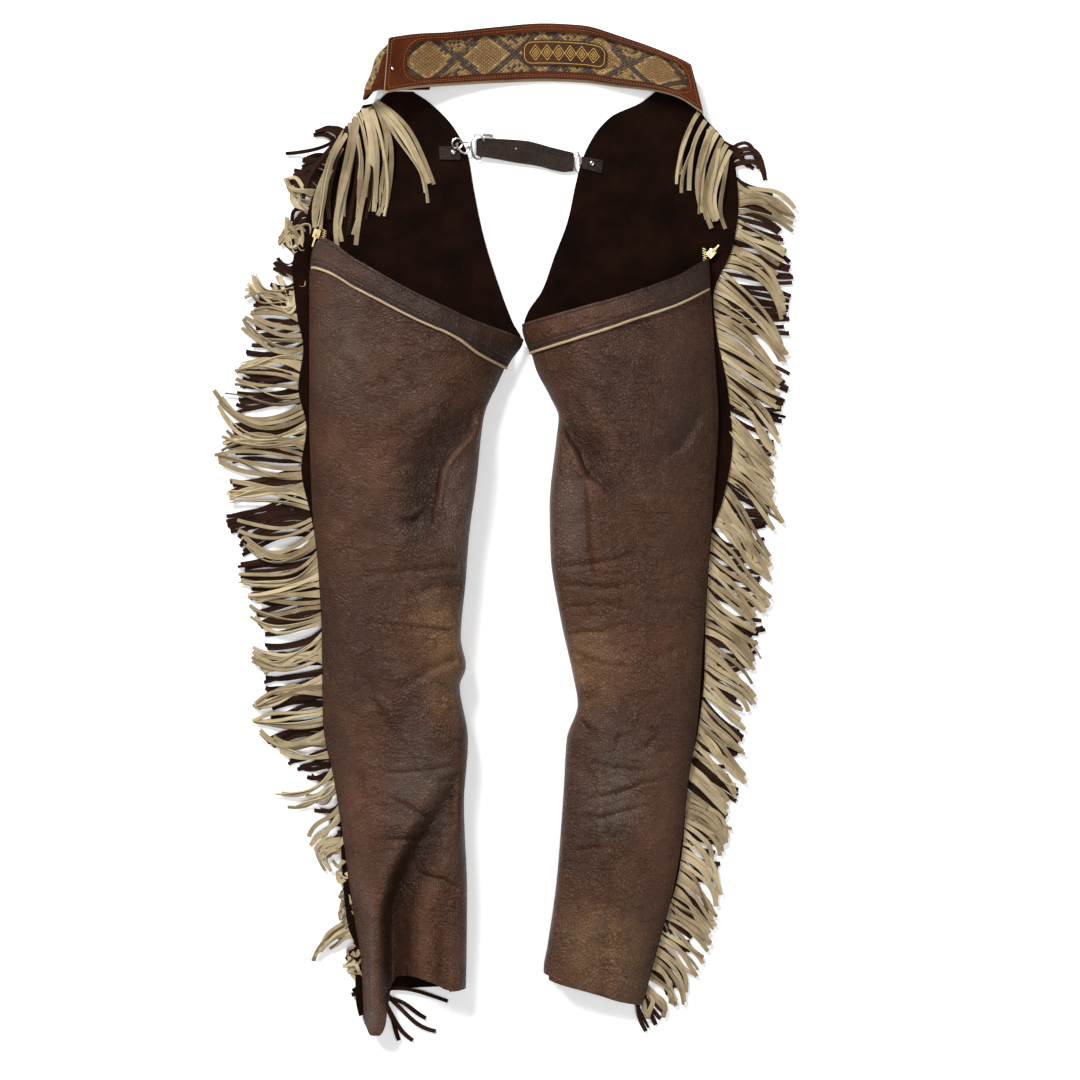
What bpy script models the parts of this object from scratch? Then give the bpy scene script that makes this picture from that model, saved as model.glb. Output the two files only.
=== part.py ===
"""Fringed leather chaps, laid face down on a flat surface.

Each leg is a front panel that lies flesh side up, with its inner edge rolled up, and a back
panel that arches over it. A banded top edge, a zip along the outer side, two layers of fringe,
an arched back belt and a strap across the front finish them. X is across, Y runs from the hems
up to the belt, Z is up. Sizes are in millimetres in the tables and metres in the meshes.
"""

from collections import namedtuple
import math

import bmesh
import bpy
from mathutils import Vector

MM = 0.001

# Driving sizes, in millimetres
LEATHER = 1.8
BAND_LEATHER = 1.6
PIPING = 2.0
GAP = 0.3
FRINGE_LAYER = 2.2
ZIP_TAPE = 1.6
BAND_WIDTH = 28.0
PIPING_WIDTH = 3.0
LAP = 8.0  # how far the back panel's inner edge sits from the rolled side
UNDERLAP = 8.0  # how much of the front panel runs on beneath it
SEAM_LIFT = LEATHER + 5 * GAP  # back panel's middle to front panel's middle in that lap

# Heights of the layers at the outer seam, from the floor up
BROWN_Z = 0.2 + FRINGE_LAYER / 2
TAN_Z = BROWN_Z + FRINGE_LAYER + GAP
FLOOR_Z = LEATHER / 2
FLANGE_Z = TAN_Z + FRINGE_LAYER / 2 + GAP + LEATHER / 2
ZIP_Z = FLANGE_Z + LEATHER / 2 + GAP + ZIP_TAPE / 2
BACK_EDGE_Z = ZIP_Z + ZIP_TAPE / 2 + 2 * GAP + LEATHER / 2

Edge = namedtuple("Edge", "y x")
Height = namedtuple("Height", "y z")
Share = namedtuple("Share", "y share")
Across = namedtuple("Across", "x y")
Fold = namedtuple("Fold", "x0 y0 x1 y1 width depth0 depth1")
Tassel = namedtuple("Tassel", "root_y tip_x tip_y")
Hanging = namedtuple("Hanging", "root_x root_y tip_x tip_y")
BeltStation = namedtuple("BeltStation", "top_x top_y low_x low_y z")
StrapStation = namedtuple("StrapStation", "x low high z")
YokeColumn = namedtuple("YokeColumn", "inset z low_y high_y")
Leg = namedtuple(
    "Leg", "name side outer inner flange crown roll back_hem front_hem band_top front_top folds"
)

LEFT = Leg(
    name="left",
    side=-1,
    outer=[
        Edge(-500, -141), Edge(-470, -143), Edge(-425, -145), Edge(-385, -151), Edge(-345, -157),
        Edge(-285, -165), Edge(-235, -173), Edge(-205, -180), Edge(-180, -183), Edge(-100, -184),
        Edge(-25, -188), Edge(30, -194), Edge(130, -197), Edge(255, -197), Edge(282, -195),
        Edge(300, -186),
    ],
    inner=[
        Edge(-500, -40), Edge(-350, -38), Edge(-265, -41), Edge(-200, -37), Edge(-147, -45),
        Edge(-127, -39), Edge(-100, -44), Edge(-40, -39), Edge(0, -36), Edge(60, -28),
        Edge(100, -24), Edge(122, -21), Edge(160, -5), Edge(180, 3), Edge(198, 13.5),
        Edge(215, 5), Edge(243, -6), Edge(300, -24), Edge(347, -34), Edge(382, -40),
        Edge(410, -54), Edge(434, -77), Edge(448, -98),
    ],
    flange=[
        Edge(-500, -142), Edge(-455, -152), Edge(-410, -152), Edge(-385, -160), Edge(-320, -166),
        Edge(-262, -168), Edge(-232, -174), Edge(-205, -181), Edge(-100, -185), Edge(-20, -189),
        Edge(20, -196), Edge(70, -206), Edge(110, -201), Edge(150, -209), Edge(190, -204),
        Edge(220, -210), Edge(272, -215), Edge(300, -206), Edge(340, -195), Edge(390, -170),
        Edge(434, -144), Edge(448, -140),
    ],
    crown=[
        Height(-500, 33), Height(-420, 36), Height(-320, 44), Height(-180, 47), Height(0, 52),
        Height(120, 58), Height(300, 62),
    ],
    roll=[Share(-500, 1.0), Share(90, 1.0), Share(135, 0.45), Share(198, 0.0)],
    back_hem=[
        Across(-143, -484), Across(-138, -494), Across(-129, -493), Across(-122, -482),
        Across(-117, -447), Across(-108, -436), Across(-92, -433), Across(-75, -437),
        Across(-62, -445), Across(-40, -448),
    ],
    front_hem=[Across(-150, -478), Across(-122, -466), Across(-112, -451), Across(-40, -447)],
    band_top=[
        Across(-197, 288), Across(-186, 297.5), Across(-150, 274.5), Across(-94, 242),
        Across(-60, 225), Across(-27, 210.5), Across(14, 198),
    ],
    front_top=[Across(-145, 431), Across(-130, 434), Across(-118, 446), Across(-90, 446)],
    folds=[
        Fold(-18, 122, -66, 62, 9, -7, -9), Fold(-66, 62, -104, -34, 11, -9, 0),
        Fold(-52, -252, -92, -306, 13, -3, -13), Fold(-92, -306, -111, -358, 13, -13, -22),
        Fold(-111, -358, -111, -450, 12, -22, -25), Fold(-95, -60, -40, -45, 12, -3, -5),
    ],
)

RIGHT = Leg(
    name="right",
    side=1,
    outer=[
        Edge(-470, 132), Edge(-435, 141), Edge(-398, 151), Edge(-345, 165), Edge(-300, 172.5),
        Edge(-240, 179), Edge(-185, 188), Edge(-100, 194), Edge(-15, 200), Edge(50, 205),
        Edge(120, 209), Edge(175, 206), Edge(235, 202), Edge(285, 199),
    ],
    inner=[
        Edge(-470, 33), Edge(-430, 33), Edge(-405, 37), Edge(-340, 46), Edge(-250, 53),
        Edge(-200, 56), Edge(-165, 67), Edge(-135, 62), Edge(-80, 50), Edge(-15, 40),
        Edge(30, 39), Edge(100, 46), Edge(120, 48), Edge(140, 40), Edge(168, 26),
        Edge(186, 22), Edge(214, 16), Edge(226, 20), Edge(247, 34), Edge(280, 46),
        Edge(318, 60), Edge(355, 68), Edge(380, 75), Edge(402, 86), Edge(421, 103),
        Edge(435, 133), Edge(448, 150),
    ],
    flange=[
        Edge(-470, 133), Edge(-435, 142), Edge(-385, 155), Edge(-345, 168), Edge(-310, 174),
        Edge(-240, 180), Edge(-190, 190), Edge(-135, 196), Edge(-40, 198), Edge(0, 202),
        Edge(40, 215), Edge(95, 224), Edge(150, 219), Edge(205, 208), Edge(240, 205),
        Edge(290, 224), Edge(330, 230), Edge(370, 227), Edge(398, 215), Edge(423, 194),
        Edge(448, 187),
    ],
    crown=[
        Height(-470, 27), Height(-430, 31), Height(-330, 42), Height(-165, 44), Height(0, 51),
        Height(120, 57), Height(285, 60),
    ],
    roll=[Share(-470, 1.0), Share(90, 1.0), Share(135, 0.45), Share(214, 0.0)],
    back_hem=[
        Across(33, -432),
        Across(43, -438),
        Across(80, -449),
        Across(115, -460),
        Across(133, -464),
    ],
    front_hem=[Across(33, -431), Across(60, -440), Across(135, -458)],
    band_top=[
        Across(16, 213), Across(45, 219), Across(69, 224.5), Across(100, 233), Across(127, 242),
        Across(165, 257), Across(189, 271.5), Across(200, 279),
    ],
    front_top=[Across(150, 446), Across(180, 446), Across(190, 432), Across(200, 424)],
    folds=[
        Fold(52, 120, 78, 76, 9, -7, -9), Fold(78, 76, 110, 24, 11, -9, 0),
        Fold(194, 132, 176, 96, 8, -3, -5), Fold(176, 96, 142, 66, 10, -5, 0),
        Fold(60, -160, 90, -150, 10, -7, 0), Fold(84, -200, 88, -330, 9, -4, 0),
    ],
)

# Fringe: where a strip leaves the seam, and where its tip lies
TAN_TASSELS = {
    "left": [
        Tassel(352, -228, 350), Tassel(318, -222, 318), Tassel(280, -236, 286),
        Tassel(248, -256, 250), Tassel(205, -272, 208), Tassel(150, -286, 152),
        Tassel(95, -286, 98), Tassel(45, -285, 44), Tassel(0, -272, -8), Tassel(-50, -254, -66),
        Tassel(-110, -247, -130), Tassel(-165, -247, -188), Tassel(-212, -236, -228),
        Tassel(-245, -203, -258), Tassel(-285, -186, -304), Tassel(-330, -176, -342),
        Tassel(-375, -176, -384), Tassel(-398, -190, -418), Tassel(-430, -166, -440),
    ],
    "right": [
        Tassel(392, 238, 388), Tassel(360, 252, 358), Tassel(336, 285, 326),
        Tassel(305, 280, 290), Tassel(262, 286, 230), Tassel(205, 284, 160),
        Tassel(150, 268, 100), Tassel(80, 276, 54), Tassel(20, 260, -8), Tassel(-50, 252, -92),
        Tassel(-100, 240, -150), Tassel(-180, 236, -216), Tassel(-240, 220, -278),
        Tassel(-300, 207, -346), Tassel(-345, 204, -398), Tassel(-390, 187, -440),
        Tassel(-428, 176, -472), Tassel(-452, 156, -506), Tassel(-460, 130, -513),
    ],
}
BROWN_TASSELS = {
    "left": [
        Tassel(424, -176, 424), Tassel(400, -204, 396), Tassel(372, -223, 382),
        Tassel(335, -218, 344), Tassel(300, -226, 306), Tassel(262, -244, 266),
        Tassel(205, -270, 202), Tassel(150, -276, 150), Tassel(80, -286, 66),
        Tassel(10, -276, 8), Tassel(-30, -268, -38), Tassel(-100, -252, -112),
        Tassel(-190, -244, -206), Tassel(-245, -200, -262), Tassel(-290, -172, -296),
        Tassel(-400, -164, -412), Tassel(-448, -157, -458), Tassel(-466, -156, -476),
    ],
    "right": [
        Tassel(414, 219, 419), Tassel(380, 242, 366), Tassel(345, 280, 336),
        Tassel(290, 284, 258), Tassel(240, 289, 216), Tassel(200, 286, 170),
        Tassel(130, 268, 92), Tassel(40, 262, 6), Tassel(-20, 253, -62), Tassel(-80, 250, -112),
        Tassel(-140, 226, -190), Tassel(-220, 205, -266), Tassel(-300, 197, -330),
        Tassel(-370, 184, -410), Tassel(-420, 166, -476), Tassel(-448, 150, -500),
        Tassel(-459, 134, -506),
    ],
}
HIP_HANGING = {
    "left": [
        Hanging(-176, 372, -197, 321), Hanging(-163, 390, -168, 308), Hanging(-150, 408, -140, 316),
        Hanging(-137, 424, -112, 330), Hanging(-127, 433, -73, 350),
    ],
    "right": [
        Hanging(189, 422, 173, 364), Hanging(199, 413, 184, 342), Hanging(209, 403, 196, 324),
        Hanging(219, 391, 206, 312),
    ],
}
HEM_HANGING = [
    Hanging(-121, -452, -60, -463),
    Hanging(-121.5, -459, -74, -493),
    Hanging(-122.5, -464, -96, -503),
]

BELT = [
    BeltStation(-117.5, 493.5, -122, 439, 31), BeltStation(-92, 498.5, -95, 445, 25),
    BeltStation(-60, 502.5, -60, 450, 14), BeltStation(-10, 509.5, -10, 454.5, 5.6),
    BeltStation(36, 513.5, 38, 456.5, 3.1), BeltStation(74, 511.5, 75, 455, 3.6),
    BeltStation(113, 499.5, 108, 450, 8), BeltStation(151, 484.5, 148, 443.6, 16),
    BeltStation(172, 474.5, 171, 436, 20), BeltStation(182, 469, 194.5, 421, 19),
]
BELT_BACKING = 1.2
BELT_INLAY = 0.8
BELT_FACE = 1.4
BELT_PATCH = 1.0
BELT_GAP = 0.5
BELT_FACE_GAP = 1.6  # the face bridges the inlay
BELT_HALF = (BELT_BACKING + BELT_INLAY + BELT_FACE + BELT_GAP + BELT_FACE_GAP) / 2
WINDOW_MIDDLE = 39.0  # X of the middle of the inlay window
WINDOW_HALF = 139.0
WINDOW_LOW = 0.16
WINDOW_HIGH = 0.85
WINDOW_CORNER = 15.0
PATCH_MIDDLE = 56.5
PATCH_HALF = 42.5
PATCH_LOW = 0.27
PATCH_HIGH = 0.72
FACE_LOW = 0.035  # the face stops short of the backing's lower edge

# Front yokes: sections from under the belt's end, round the side and back along the floor
LEFT_YOKE_EDGE = [Edge(434, -144), Edge(447, -141), Edge(461, -135), Edge(477, -130), Edge(492, -117)]
LEFT_YOKE = [
    YokeColumn(30, 19.5, 450, 486), YokeColumn(20, 22.5, 446, 487), YokeColumn(8, 23.5, 441, 488),
    YokeColumn(1.5, 20, 436, 489), YokeColumn(0, 14, 435.5, 490), YokeColumn(2.5, 9, 437, 489),
    YokeColumn(10, 2.5, 448, 487), YokeColumn(22, FLOOR_Z, 448, 484), YokeColumn(62, FLOOR_Z, 448, 480),
]
RIGHT_YOKE_EDGE = [Edge(421, 193), Edge(447, 186.5), Edge(469, 180.5)]
RIGHT_YOKE = [
    YokeColumn(16, 14.2, 447, 462), YokeColumn(8, 14.6, 443, 463), YokeColumn(2, 12.5, 437, 464),
    YokeColumn(0, 9.5, 434, 464), YokeColumn(3, 5.0, 440, 464), YokeColumn(10, FLOOR_Z, 448, 462),
    YokeColumn(52, FLOOR_Z, 448, 462),
]

STRAP_LEATHER = 1.8
STRAP = [
    StrapStation(65.5, 371, 385, 1.1), StrapStation(45, 376, 390, 1.1), StrapStation(17, 383, 397, 1.1),
    StrapStation(-12, 384.5, 399, 1.1), StrapStation(-27, 384, 399.5, 1.1),
    StrapStation(-29.6, 383.5, 399, 1.9), StrapStation(-30.8, 382, 398, 3.5),
    StrapStation(-29.6, 381, 397, 5.2), StrapStation(-26.5, 380.5, 396.5, 5.8),
    StrapStation(-10, 378, 393.5, 4.8), StrapStation(5, 375.3, 390.5, 3.7),
    StrapStation(30, 371.5, 386.3, 3.3), StrapStation(45, 367.5, 383, 3.3),
    StrapStation(57, 365.5, 380.5, 3.3), StrapStation(65.5, 366.5, 380, 3.3),
]
TAB_LEATHER = 1.8
TAB_Z = LEATHER + GAP + TAB_LEATHER / 2
WIRE = 1.1  # radius of the strap's metal loops

COLUMNS_BACK = [0, 0.035, 0.08, 0.15, 0.22, 0.29, 0.36, 0.44, 0.52, 0.62, 0.72, 0.82, 0.91, 1.0]
BACK_ROWS = 24
FRONT_ROWS = 30
RIM = math.radians(66)  # how far round its arc the outer side of a back panel comes down
ROUNDNESS = 2.3


def smooth_at(points, t):
    """The second value of a table at a first value t, on a smooth curve that never overshoots."""
    rows = sorted(tuple(p)[:2] for p in points)
    if t <= rows[0][0]:
        return rows[0][1]
    if t >= rows[-1][0]:
        return rows[-1][1]
    slopes = [(b[1] - a[1]) / (b[0] - a[0]) for a, b in zip(rows, rows[1:])]
    i = max(k for k in range(len(slopes)) if rows[k][0] <= t)
    ends = []
    for k in (i, i + 1):
        before = slopes[k - 1] if k > 0 else slopes[0]
        after = slopes[k] if k < len(slopes) else slopes[-1]
        ends.append(0.0 if before * after <= 0 else 2 * before * after / (before + after))
    (t0, v0), (t1, v1) = rows[i], rows[i + 1]
    h = t1 - t0
    u = (t - t0) / h
    return (
        v0 * (1 + 2 * u) * (1 - u) ** 2
        + ends[0] * h * u * (1 - u) ** 2
        + v1 * u * u * (3 - 2 * u)
        - ends[1] * h * u * u * (1 - u)
    )


def mix(a, b, share):
    return a + (b - a) * share


def ease(low, high, t):
    """0 below low, 1 above high and smooth between."""
    u = min(1.0, max(0.0, (t - low) / (high - low)))
    return u * u * (3 - 2 * u)


def fold_depth(leg, x, y):
    """How far the main folds push the leather down or up at a point."""
    total = 0.0
    for fold in leg.folds:
        along = Vector((fold.x1 - fold.x0, fold.y1 - fold.y0))
        share = Vector((x - fold.x0, y - fold.y0)).dot(along) / along.length_squared
        near = min(1.0, max(0.0, share))
        away = math.hypot(x - fold.x0 - along.x * near, y - fold.y0 - along.y * near)
        depth = mix(fold.depth0, fold.depth1, near) * math.exp(-((away / fold.width) ** 2))
        total = min(total, depth)
    return total


def panel_height(flange, x, y):
    """Middle of the front panel near its outer edge, which lies on the fringe as far as that goes."""
    raised = mix(FLANGE_Z, FLOOR_Z, ease(425, 440, y))
    return mix(raised, FLOOR_Z, min(1.0, max(0.0, (abs(x - flange) - 10) / 12)))


class Section:
    """A leg's cut across at one Y: where the crown, the rolled side and the zip edge lie."""

    def __init__(self, leg, y):
        self.leg = leg
        self.y = y
        self.outer = smooth_at(leg.outer, y)
        self.inner = smooth_at(leg.inner, y)
        self.flange = smooth_at(leg.flange, y)
        self.crown = smooth_at(leg.crown, y)
        self.round = smooth_at(leg.roll, y)
        self.toward_inner = -leg.side
        self.ridge = mix(self.inner, self.outer, 0.38)
        self.side_z = mix(3.6, 0.42 * self.crown, self.round)
        self.power = 2 / mix(1.35, ROUNDNESS, self.round)
        self.lap = mix(1.0, LAP, self.round)

    def rolled(self, angle, inset=0.0):
        """A point on the inner side, from 0 at its widest to 90 degrees at the crown."""
        across = abs(self.inner - self.ridge) - inset
        rise = self.crown - self.side_z - inset
        x = self.ridge + self.toward_inner * across * math.cos(angle) ** self.power
        z = self.side_z + rise * math.sin(angle) ** self.power
        return self.folded(x, z)

    def lap_angle(self, distance):
        """The angle at which the rolled side has come in by a distance."""
        across = abs(self.inner - self.ridge)
        return math.acos(((across - distance) / across) ** (1 / self.power))

    def folded(self, x, z):
        clear_of_seam = ease(LAP + UNDERLAP - 2, LAP + UNDERLAP + 14, abs(x - self.inner))
        weight = ease(8, 26, z) * clear_of_seam
        return x, z + weight * fold_depth(self.leg, x, self.y)

    def back(self, share):
        """The back panel, from 0 at the zip edge to 1 at its lap on the inner side."""
        if share < 0.5:
            angle = RIM * (1 - share / 0.5)
            x = self.ridge + (self.outer - self.ridge) * math.sin(angle) / math.sin(RIM)
            rise = (math.cos(angle) - math.cos(RIM)) / (1 - math.cos(RIM))
            return self.folded(x, BACK_EDGE_Z + (self.crown - BACK_EDGE_Z) * rise)
        low = self.lap_angle(self.lap)
        return self.rolled(mix(math.pi / 2, low, share / 0.5 - 1))

    def front(self):
        """The front panel from the flange's edge, along the floor and up round the inner side."""
        inward = self.toward_inner
        foot = 18 * self.round + 5 * (1 - self.round)
        start = self.flange + inward * 22
        stop = self.inner - inward * foot
        rim = (self.flange, self.flange + inward * 10)
        points = [(x, panel_height(self.flange, x, self.y)) for x in rim]
        points += [(mix(start, stop, k / 4), FLOOR_Z) for k in range(5)]
        curl = []
        for degrees in (24, 46, 68, 90):
            angle = math.radians(degrees)
            x = stop + inward * foot * math.sin(angle)
            z = self.side_z - (self.side_z - FLOOR_Z) * math.cos(angle)
            curl.append((x - inward * SEAM_LIFT * math.sin(angle), z))
        high = self.lap_angle(self.lap + UNDERLAP * self.round + 0.5)
        for k in (1, 2, 3):
            curl.append(self.rolled(high * k / 3, inset=SEAM_LIFT))
        open_edge = ease(165, 192, self.y)
        for k, (x, z) in enumerate(curl):
            flat_x = self.inner - inward * foot * (1 - (k + 1) / len(curl))
            points.append((mix(x, flat_x, open_edge), mix(z, FLOOR_Z, open_edge)))
        return points


def back_point(leg, share, y, lift=0.0):
    """A point on the back panel's middle surface, moved out by lift along its normal."""
    x, z = Section(leg, y).back(share)
    here = Vector((x, y, z))
    if not lift:
        return here
    low, high = max(0.0, share - 0.01), min(1.0, share + 0.01)
    x0, z0 = Section(leg, y).back(low)
    x1, z1 = Section(leg, y).back(high)
    x2, z2 = Section(leg, y - 2).back(share)
    x3, z3 = Section(leg, y + 2).back(share)
    normal = Vector((x1 - x0, 0, z1 - z0)).cross(Vector((x3 - x2, 4, z3 - z2))).normalized()
    return here - normal * lift * leg.side


def band_line(leg, share):
    """Y of the back panel's top edge in one column."""
    y = 240.0
    for _ in range(12):
        y = mix(y, smooth_at(leg.band_top, Section(leg, y).back(share)[0]), 0.7)
    return y


def hem_line(leg, share):
    """Y of the back panel's hem in one column."""
    return smooth_at(leg.back_hem, Section(leg, -450).back(share)[0])


def material(name, colour, roughness, metallic=0.0):
    made = bpy.data.materials.new(name)
    made.use_nodes = True
    shader = made.node_tree.nodes["Principled BSDF"]
    shader.inputs["Base Color"].default_value = (*colour, 1)
    shader.inputs["Roughness"].default_value = roughness
    shader.inputs["Metallic"].default_value = metallic
    return made


def add_object(name, mesh, finish):
    made = bpy.data.objects.new(name, mesh)
    made.data.materials.append(finish)
    parts.objects.link(made)
    return made


def shell(name, rows, thickness, finish, closed_ring=False):
    """A leather wall on a grid of middle points, given as rows in millimetres."""
    mesh = bpy.data.meshes.new(name)
    width = len(rows[0])
    points = [Vector(p) * MM for row in rows for p in row]
    faces = []
    for i in range(len(rows) - 1):
        for j in range(width if closed_ring else width - 1):
            k = (j + 1) % width
            faces.append((i * width + j, i * width + k, (i + 1) * width + k, (i + 1) * width + j))
    mesh.from_pydata(points, [], faces)
    made = add_object(name, mesh, finish)
    wall = made.modifiers.new("wall", "SOLIDIFY")
    wall.thickness = thickness * MM
    wall.offset = 0
    mesh.shade_smooth()
    mesh.set_sharp_from_angle(angle=math.radians(40))
    return made


def front_panel(leg):
    lowest = min(p.y for p in leg.front_hem)
    highest = max(p.y for p in leg.front_top)
    hem = [smooth_at(leg.front_hem, x) for x, z in Section(leg, lowest).front()]
    head = [smooth_at(leg.front_top, x) for x, z in Section(leg, highest).front()]
    rows = []
    for i in range(FRONT_ROWS + 1):
        row = []
        for j, (low, high) in enumerate(zip(hem, head)):
            y = mix(low, high, i / FRONT_ROWS)
            x, z = Section(leg, y).front()[j]
            row.append((x, y, z))
        rows.append(row)
    return shell(f"{leg.name}_front_panel", rows, LEATHER, suede)


def back_panel(leg):
    rows = []
    for i in range(BACK_ROWS + 1):
        row = []
        for share in COLUMNS_BACK:
            y = mix(hem_line(leg, share), band_line(leg, share), i / BACK_ROWS)
            row.append(back_point(leg, share, y))
        rows.append(row)
    return shell(f"{leg.name}_back_panel", rows, LEATHER, brown_leather)


def strip_on_back(name, leg, near, far, thickness, rows, shares, finish):
    """A strip that lies on the back panel, between two distances below its top edge."""
    lift = LEATHER / 2 + 3 * GAP + thickness / 2
    grid = []
    for i in range(rows + 1):
        below = mix(far, near, i / rows)
        grid.append([back_point(leg, s, band_line(leg, s) - below, lift) for s in shares])
    return shell(name, grid, thickness, finish)


def fringe(name, leg, tassels, z, finish):
    """The reach of one layer of fringe: from under the flange out to the strips' tips."""
    rows = []
    for tassel in tassels:
        edge = smooth_at(leg.flange, tassel.root_y)
        rows.append([
            (edge - leg.side * 7, tassel.root_y, z),
            (edge + leg.side * 2, mix(tassel.root_y, tassel.tip_y, 0.05), z),
            (tassel.tip_x, tassel.tip_y, z),
        ])
    return shell(name, rows, FRINGE_LAYER, finish)


def hip_fringe(leg, strips):
    """The reach of strips that have fallen over the front panel at the hip."""
    lift = LEATHER / 2 + 4 * GAP + FRINGE_LAYER / 2
    outward = leg.side * 7
    rows = []
    for strip in strips:
        row = []
        for share in (0, 0.25, 0.5, 0.75, 1):
            x = mix(strip.root_x, strip.tip_x, share)
            y = mix(strip.root_y, strip.tip_y, share)
            row.append((x, y, panel_height(smooth_at(leg.flange, y), x + outward, y) + lift))
        rows.append(row)
    return shell(f"{leg.name}_hip_fringe", rows, FRINGE_LAYER, tan_suede)


def hem_fringe(strips):
    """The reach of strips that come out of the leg over its front hem and lie on the floor."""
    on_panel = LEATHER + 2 * GAP + FRINGE_LAYER / 2
    rows = []
    for strip in strips:
        row = []
        for share, z in ((0, on_panel), (0.25, on_panel), (0.45, BROWN_Z), (1, BROWN_Z)):
            x = mix(strip.root_x, strip.tip_x, share)
            y = mix(strip.root_y, strip.tip_y, share)
            row.append((x, y, z))
        rows.append(row)
    return shell("left_hem_fringe", rows, FRINGE_LAYER, brown_suede)


def zip_tape(leg):
    """The closed zip between the flange and the back panel's outer edge."""
    top = max(p.y for p in leg.band_top) + 10
    bottom = hem_line(leg, 0) + 3
    rows = []
    for i in range(25):
        y = mix(bottom, top, i / 24)
        x = smooth_at(leg.outer, y)
        rows.append([(x - leg.side * 6, y, ZIP_Z), (x + leg.side * 3, y, ZIP_Z)])
    return shell(f"{leg.name}_zip", rows, ZIP_TAPE, zip_cloth)


def belt_point(x, share, lift=0.0):
    """A point on the belt: X along its middle, 0 at its lower edge to 1 at its upper edge."""
    def at(field):
        table = [((s.top_x + s.low_x) / 2, getattr(s, field)) for s in BELT]
        return smooth_at(table, x)

    low = Vector((at("low_x"), at("low_y"), at("z")))
    high = Vector((at("top_x"), at("top_y"), at("z")))
    heights = [((s.top_x + s.low_x) / 2, s.z) for s in BELT]
    rise = smooth_at(heights, x + 1) - at("z")
    normal = Vector((-rise, 0, 1)).normalized()
    return low.lerp(high, share) + normal * lift


BELT_LEFT = (BELT[0].top_x + BELT[0].low_x) / 2
BELT_RIGHT = (BELT[-1].top_x + BELT[-1].low_x) / 2


def belt_backing():
    rows = []
    for i in range(25):
        x = mix(BELT_LEFT, BELT_RIGHT, i / 24)
        lift = -BELT_HALF + BELT_BACKING / 2
        rows.append([belt_point(x, share, lift) for share in (0, 0.33, 0.67, 1)])
    return shell("belt_backing", rows, BELT_BACKING, tan_leather)


def rounded_on_belt(name, middle, half, low, high, corner, columns, lift, thickness, finish):
    """A round-ended piece on the belt, made column by column."""
    rows = []
    for i in range(columns + 1):
        along = -half * math.cos(math.pi * i / columns)
        height = 1.0
        past = abs(along) - (half - corner)
        if past > 0:
            height = 1 - 0.62 * (1 - math.sqrt(max(0.0, 1 - (past / corner) ** 2)))
        centre, reach = (low + high) / 2, (high - low) / 2 * height
        shares = [centre + reach * k for k in (-1, 0, 1)]
        rows.append([belt_point(middle + along, share, lift) for share in shares])
    return shell(name, rows, thickness, finish)


def loop_round(left, right, low, high, corner):
    """Points (x, share) round a four-sided outline on the belt, with eased corners."""
    spread = 54.0
    points = []
    for centre_x, centre_s, turn in (
        (right - corner, high, 0), (left + corner, high, 1),
        (left + corner, low, 2), (right - corner, low, 3),
    ):
        sign_s = 1 if turn in (0, 1) else -1
        reach = corner / spread
        for k in range(5):
            angle = math.pi / 2 * (k / 4 + turn)
            points.append((
                centre_x + corner * math.cos(angle),
                centre_s - sign_s * reach + reach * math.sin(angle),
            ))
        if turn in (0, 2):
            ends = (right - corner, left + corner) if turn == 0 else (left + corner, right - corner)
            side = centre_s
            points += [(mix(*ends, k / 24), side) for k in range(1, 24)]
    return points


def belt_face():
    lift = BELT_HALF - BELT_FACE / 2
    outline = loop_round(BELT_LEFT + 0.3, BELT_RIGHT - 0.3, FACE_LOW, 1.0, 1.0)
    window = loop_round(
        WINDOW_MIDDLE - WINDOW_HALF, WINDOW_MIDDLE + WINDOW_HALF, WINDOW_LOW, WINDOW_HIGH, WINDOW_CORNER
    )
    rows = [[belt_point(x, s, lift) for x, s in ring] for ring in (outline, window)]
    return shell("belt_face", rows, BELT_FACE, rust_leather, closed_ring=True)


def yoke(name, edge, columns, inward, finish, rows=6):
    grid = []
    for i in range(rows + 1):
        row = []
        for column in columns:
            y = mix(column.low_y, column.high_y, i / rows)
            row.append((smooth_at(edge, y) + inward * column.inset, y, column.z))
        grid.append(row)
    return shell(name, grid, LEATHER, finish)


def yoke_inlay():
    """The snakeskin strip on the left yoke, where it turns over the side."""
    lift = LEATHER / 2 + 4 * GAP + BELT_INLAY / 2
    upper, side = LEFT_YOKE[3], LEFT_YOKE[4]
    columns = [
        YokeColumn(upper.inset - 0.77 * lift, upper.z + 0.64 * lift, 444, 484),
        YokeColumn(side.inset - lift, side.z, 444, 484),
    ]
    grid = []
    for i in range(5):
        row = []
        for column in columns:
            y = mix(column.low_y, column.high_y, i / 4)
            row.append((smooth_at(LEFT_YOKE_EDGE, y) + column.inset, y, column.z))
        grid.append(row)
    return shell("left_yoke_inlay", grid, BELT_INLAY, snakeskin)


def strap():
    rows = [[(s.x, mix(s.low, s.high, k / 2), s.z) for k in (0, 1, 2)] for s in STRAP]
    return shell("front_strap", rows, STRAP_LEATHER, strap_leather)


def tab(name, corners):
    """A flat four-cornered tab riveted to a front panel."""
    a, b, c, d = (Vector((x, y, TAB_Z)) for x, y in corners)
    rows = [[a.lerp(b, k / 2), d.lerp(c, k / 2)] for k in (0, 1, 2)]
    return shell(name, rows, TAB_LEATHER, suede)


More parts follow.
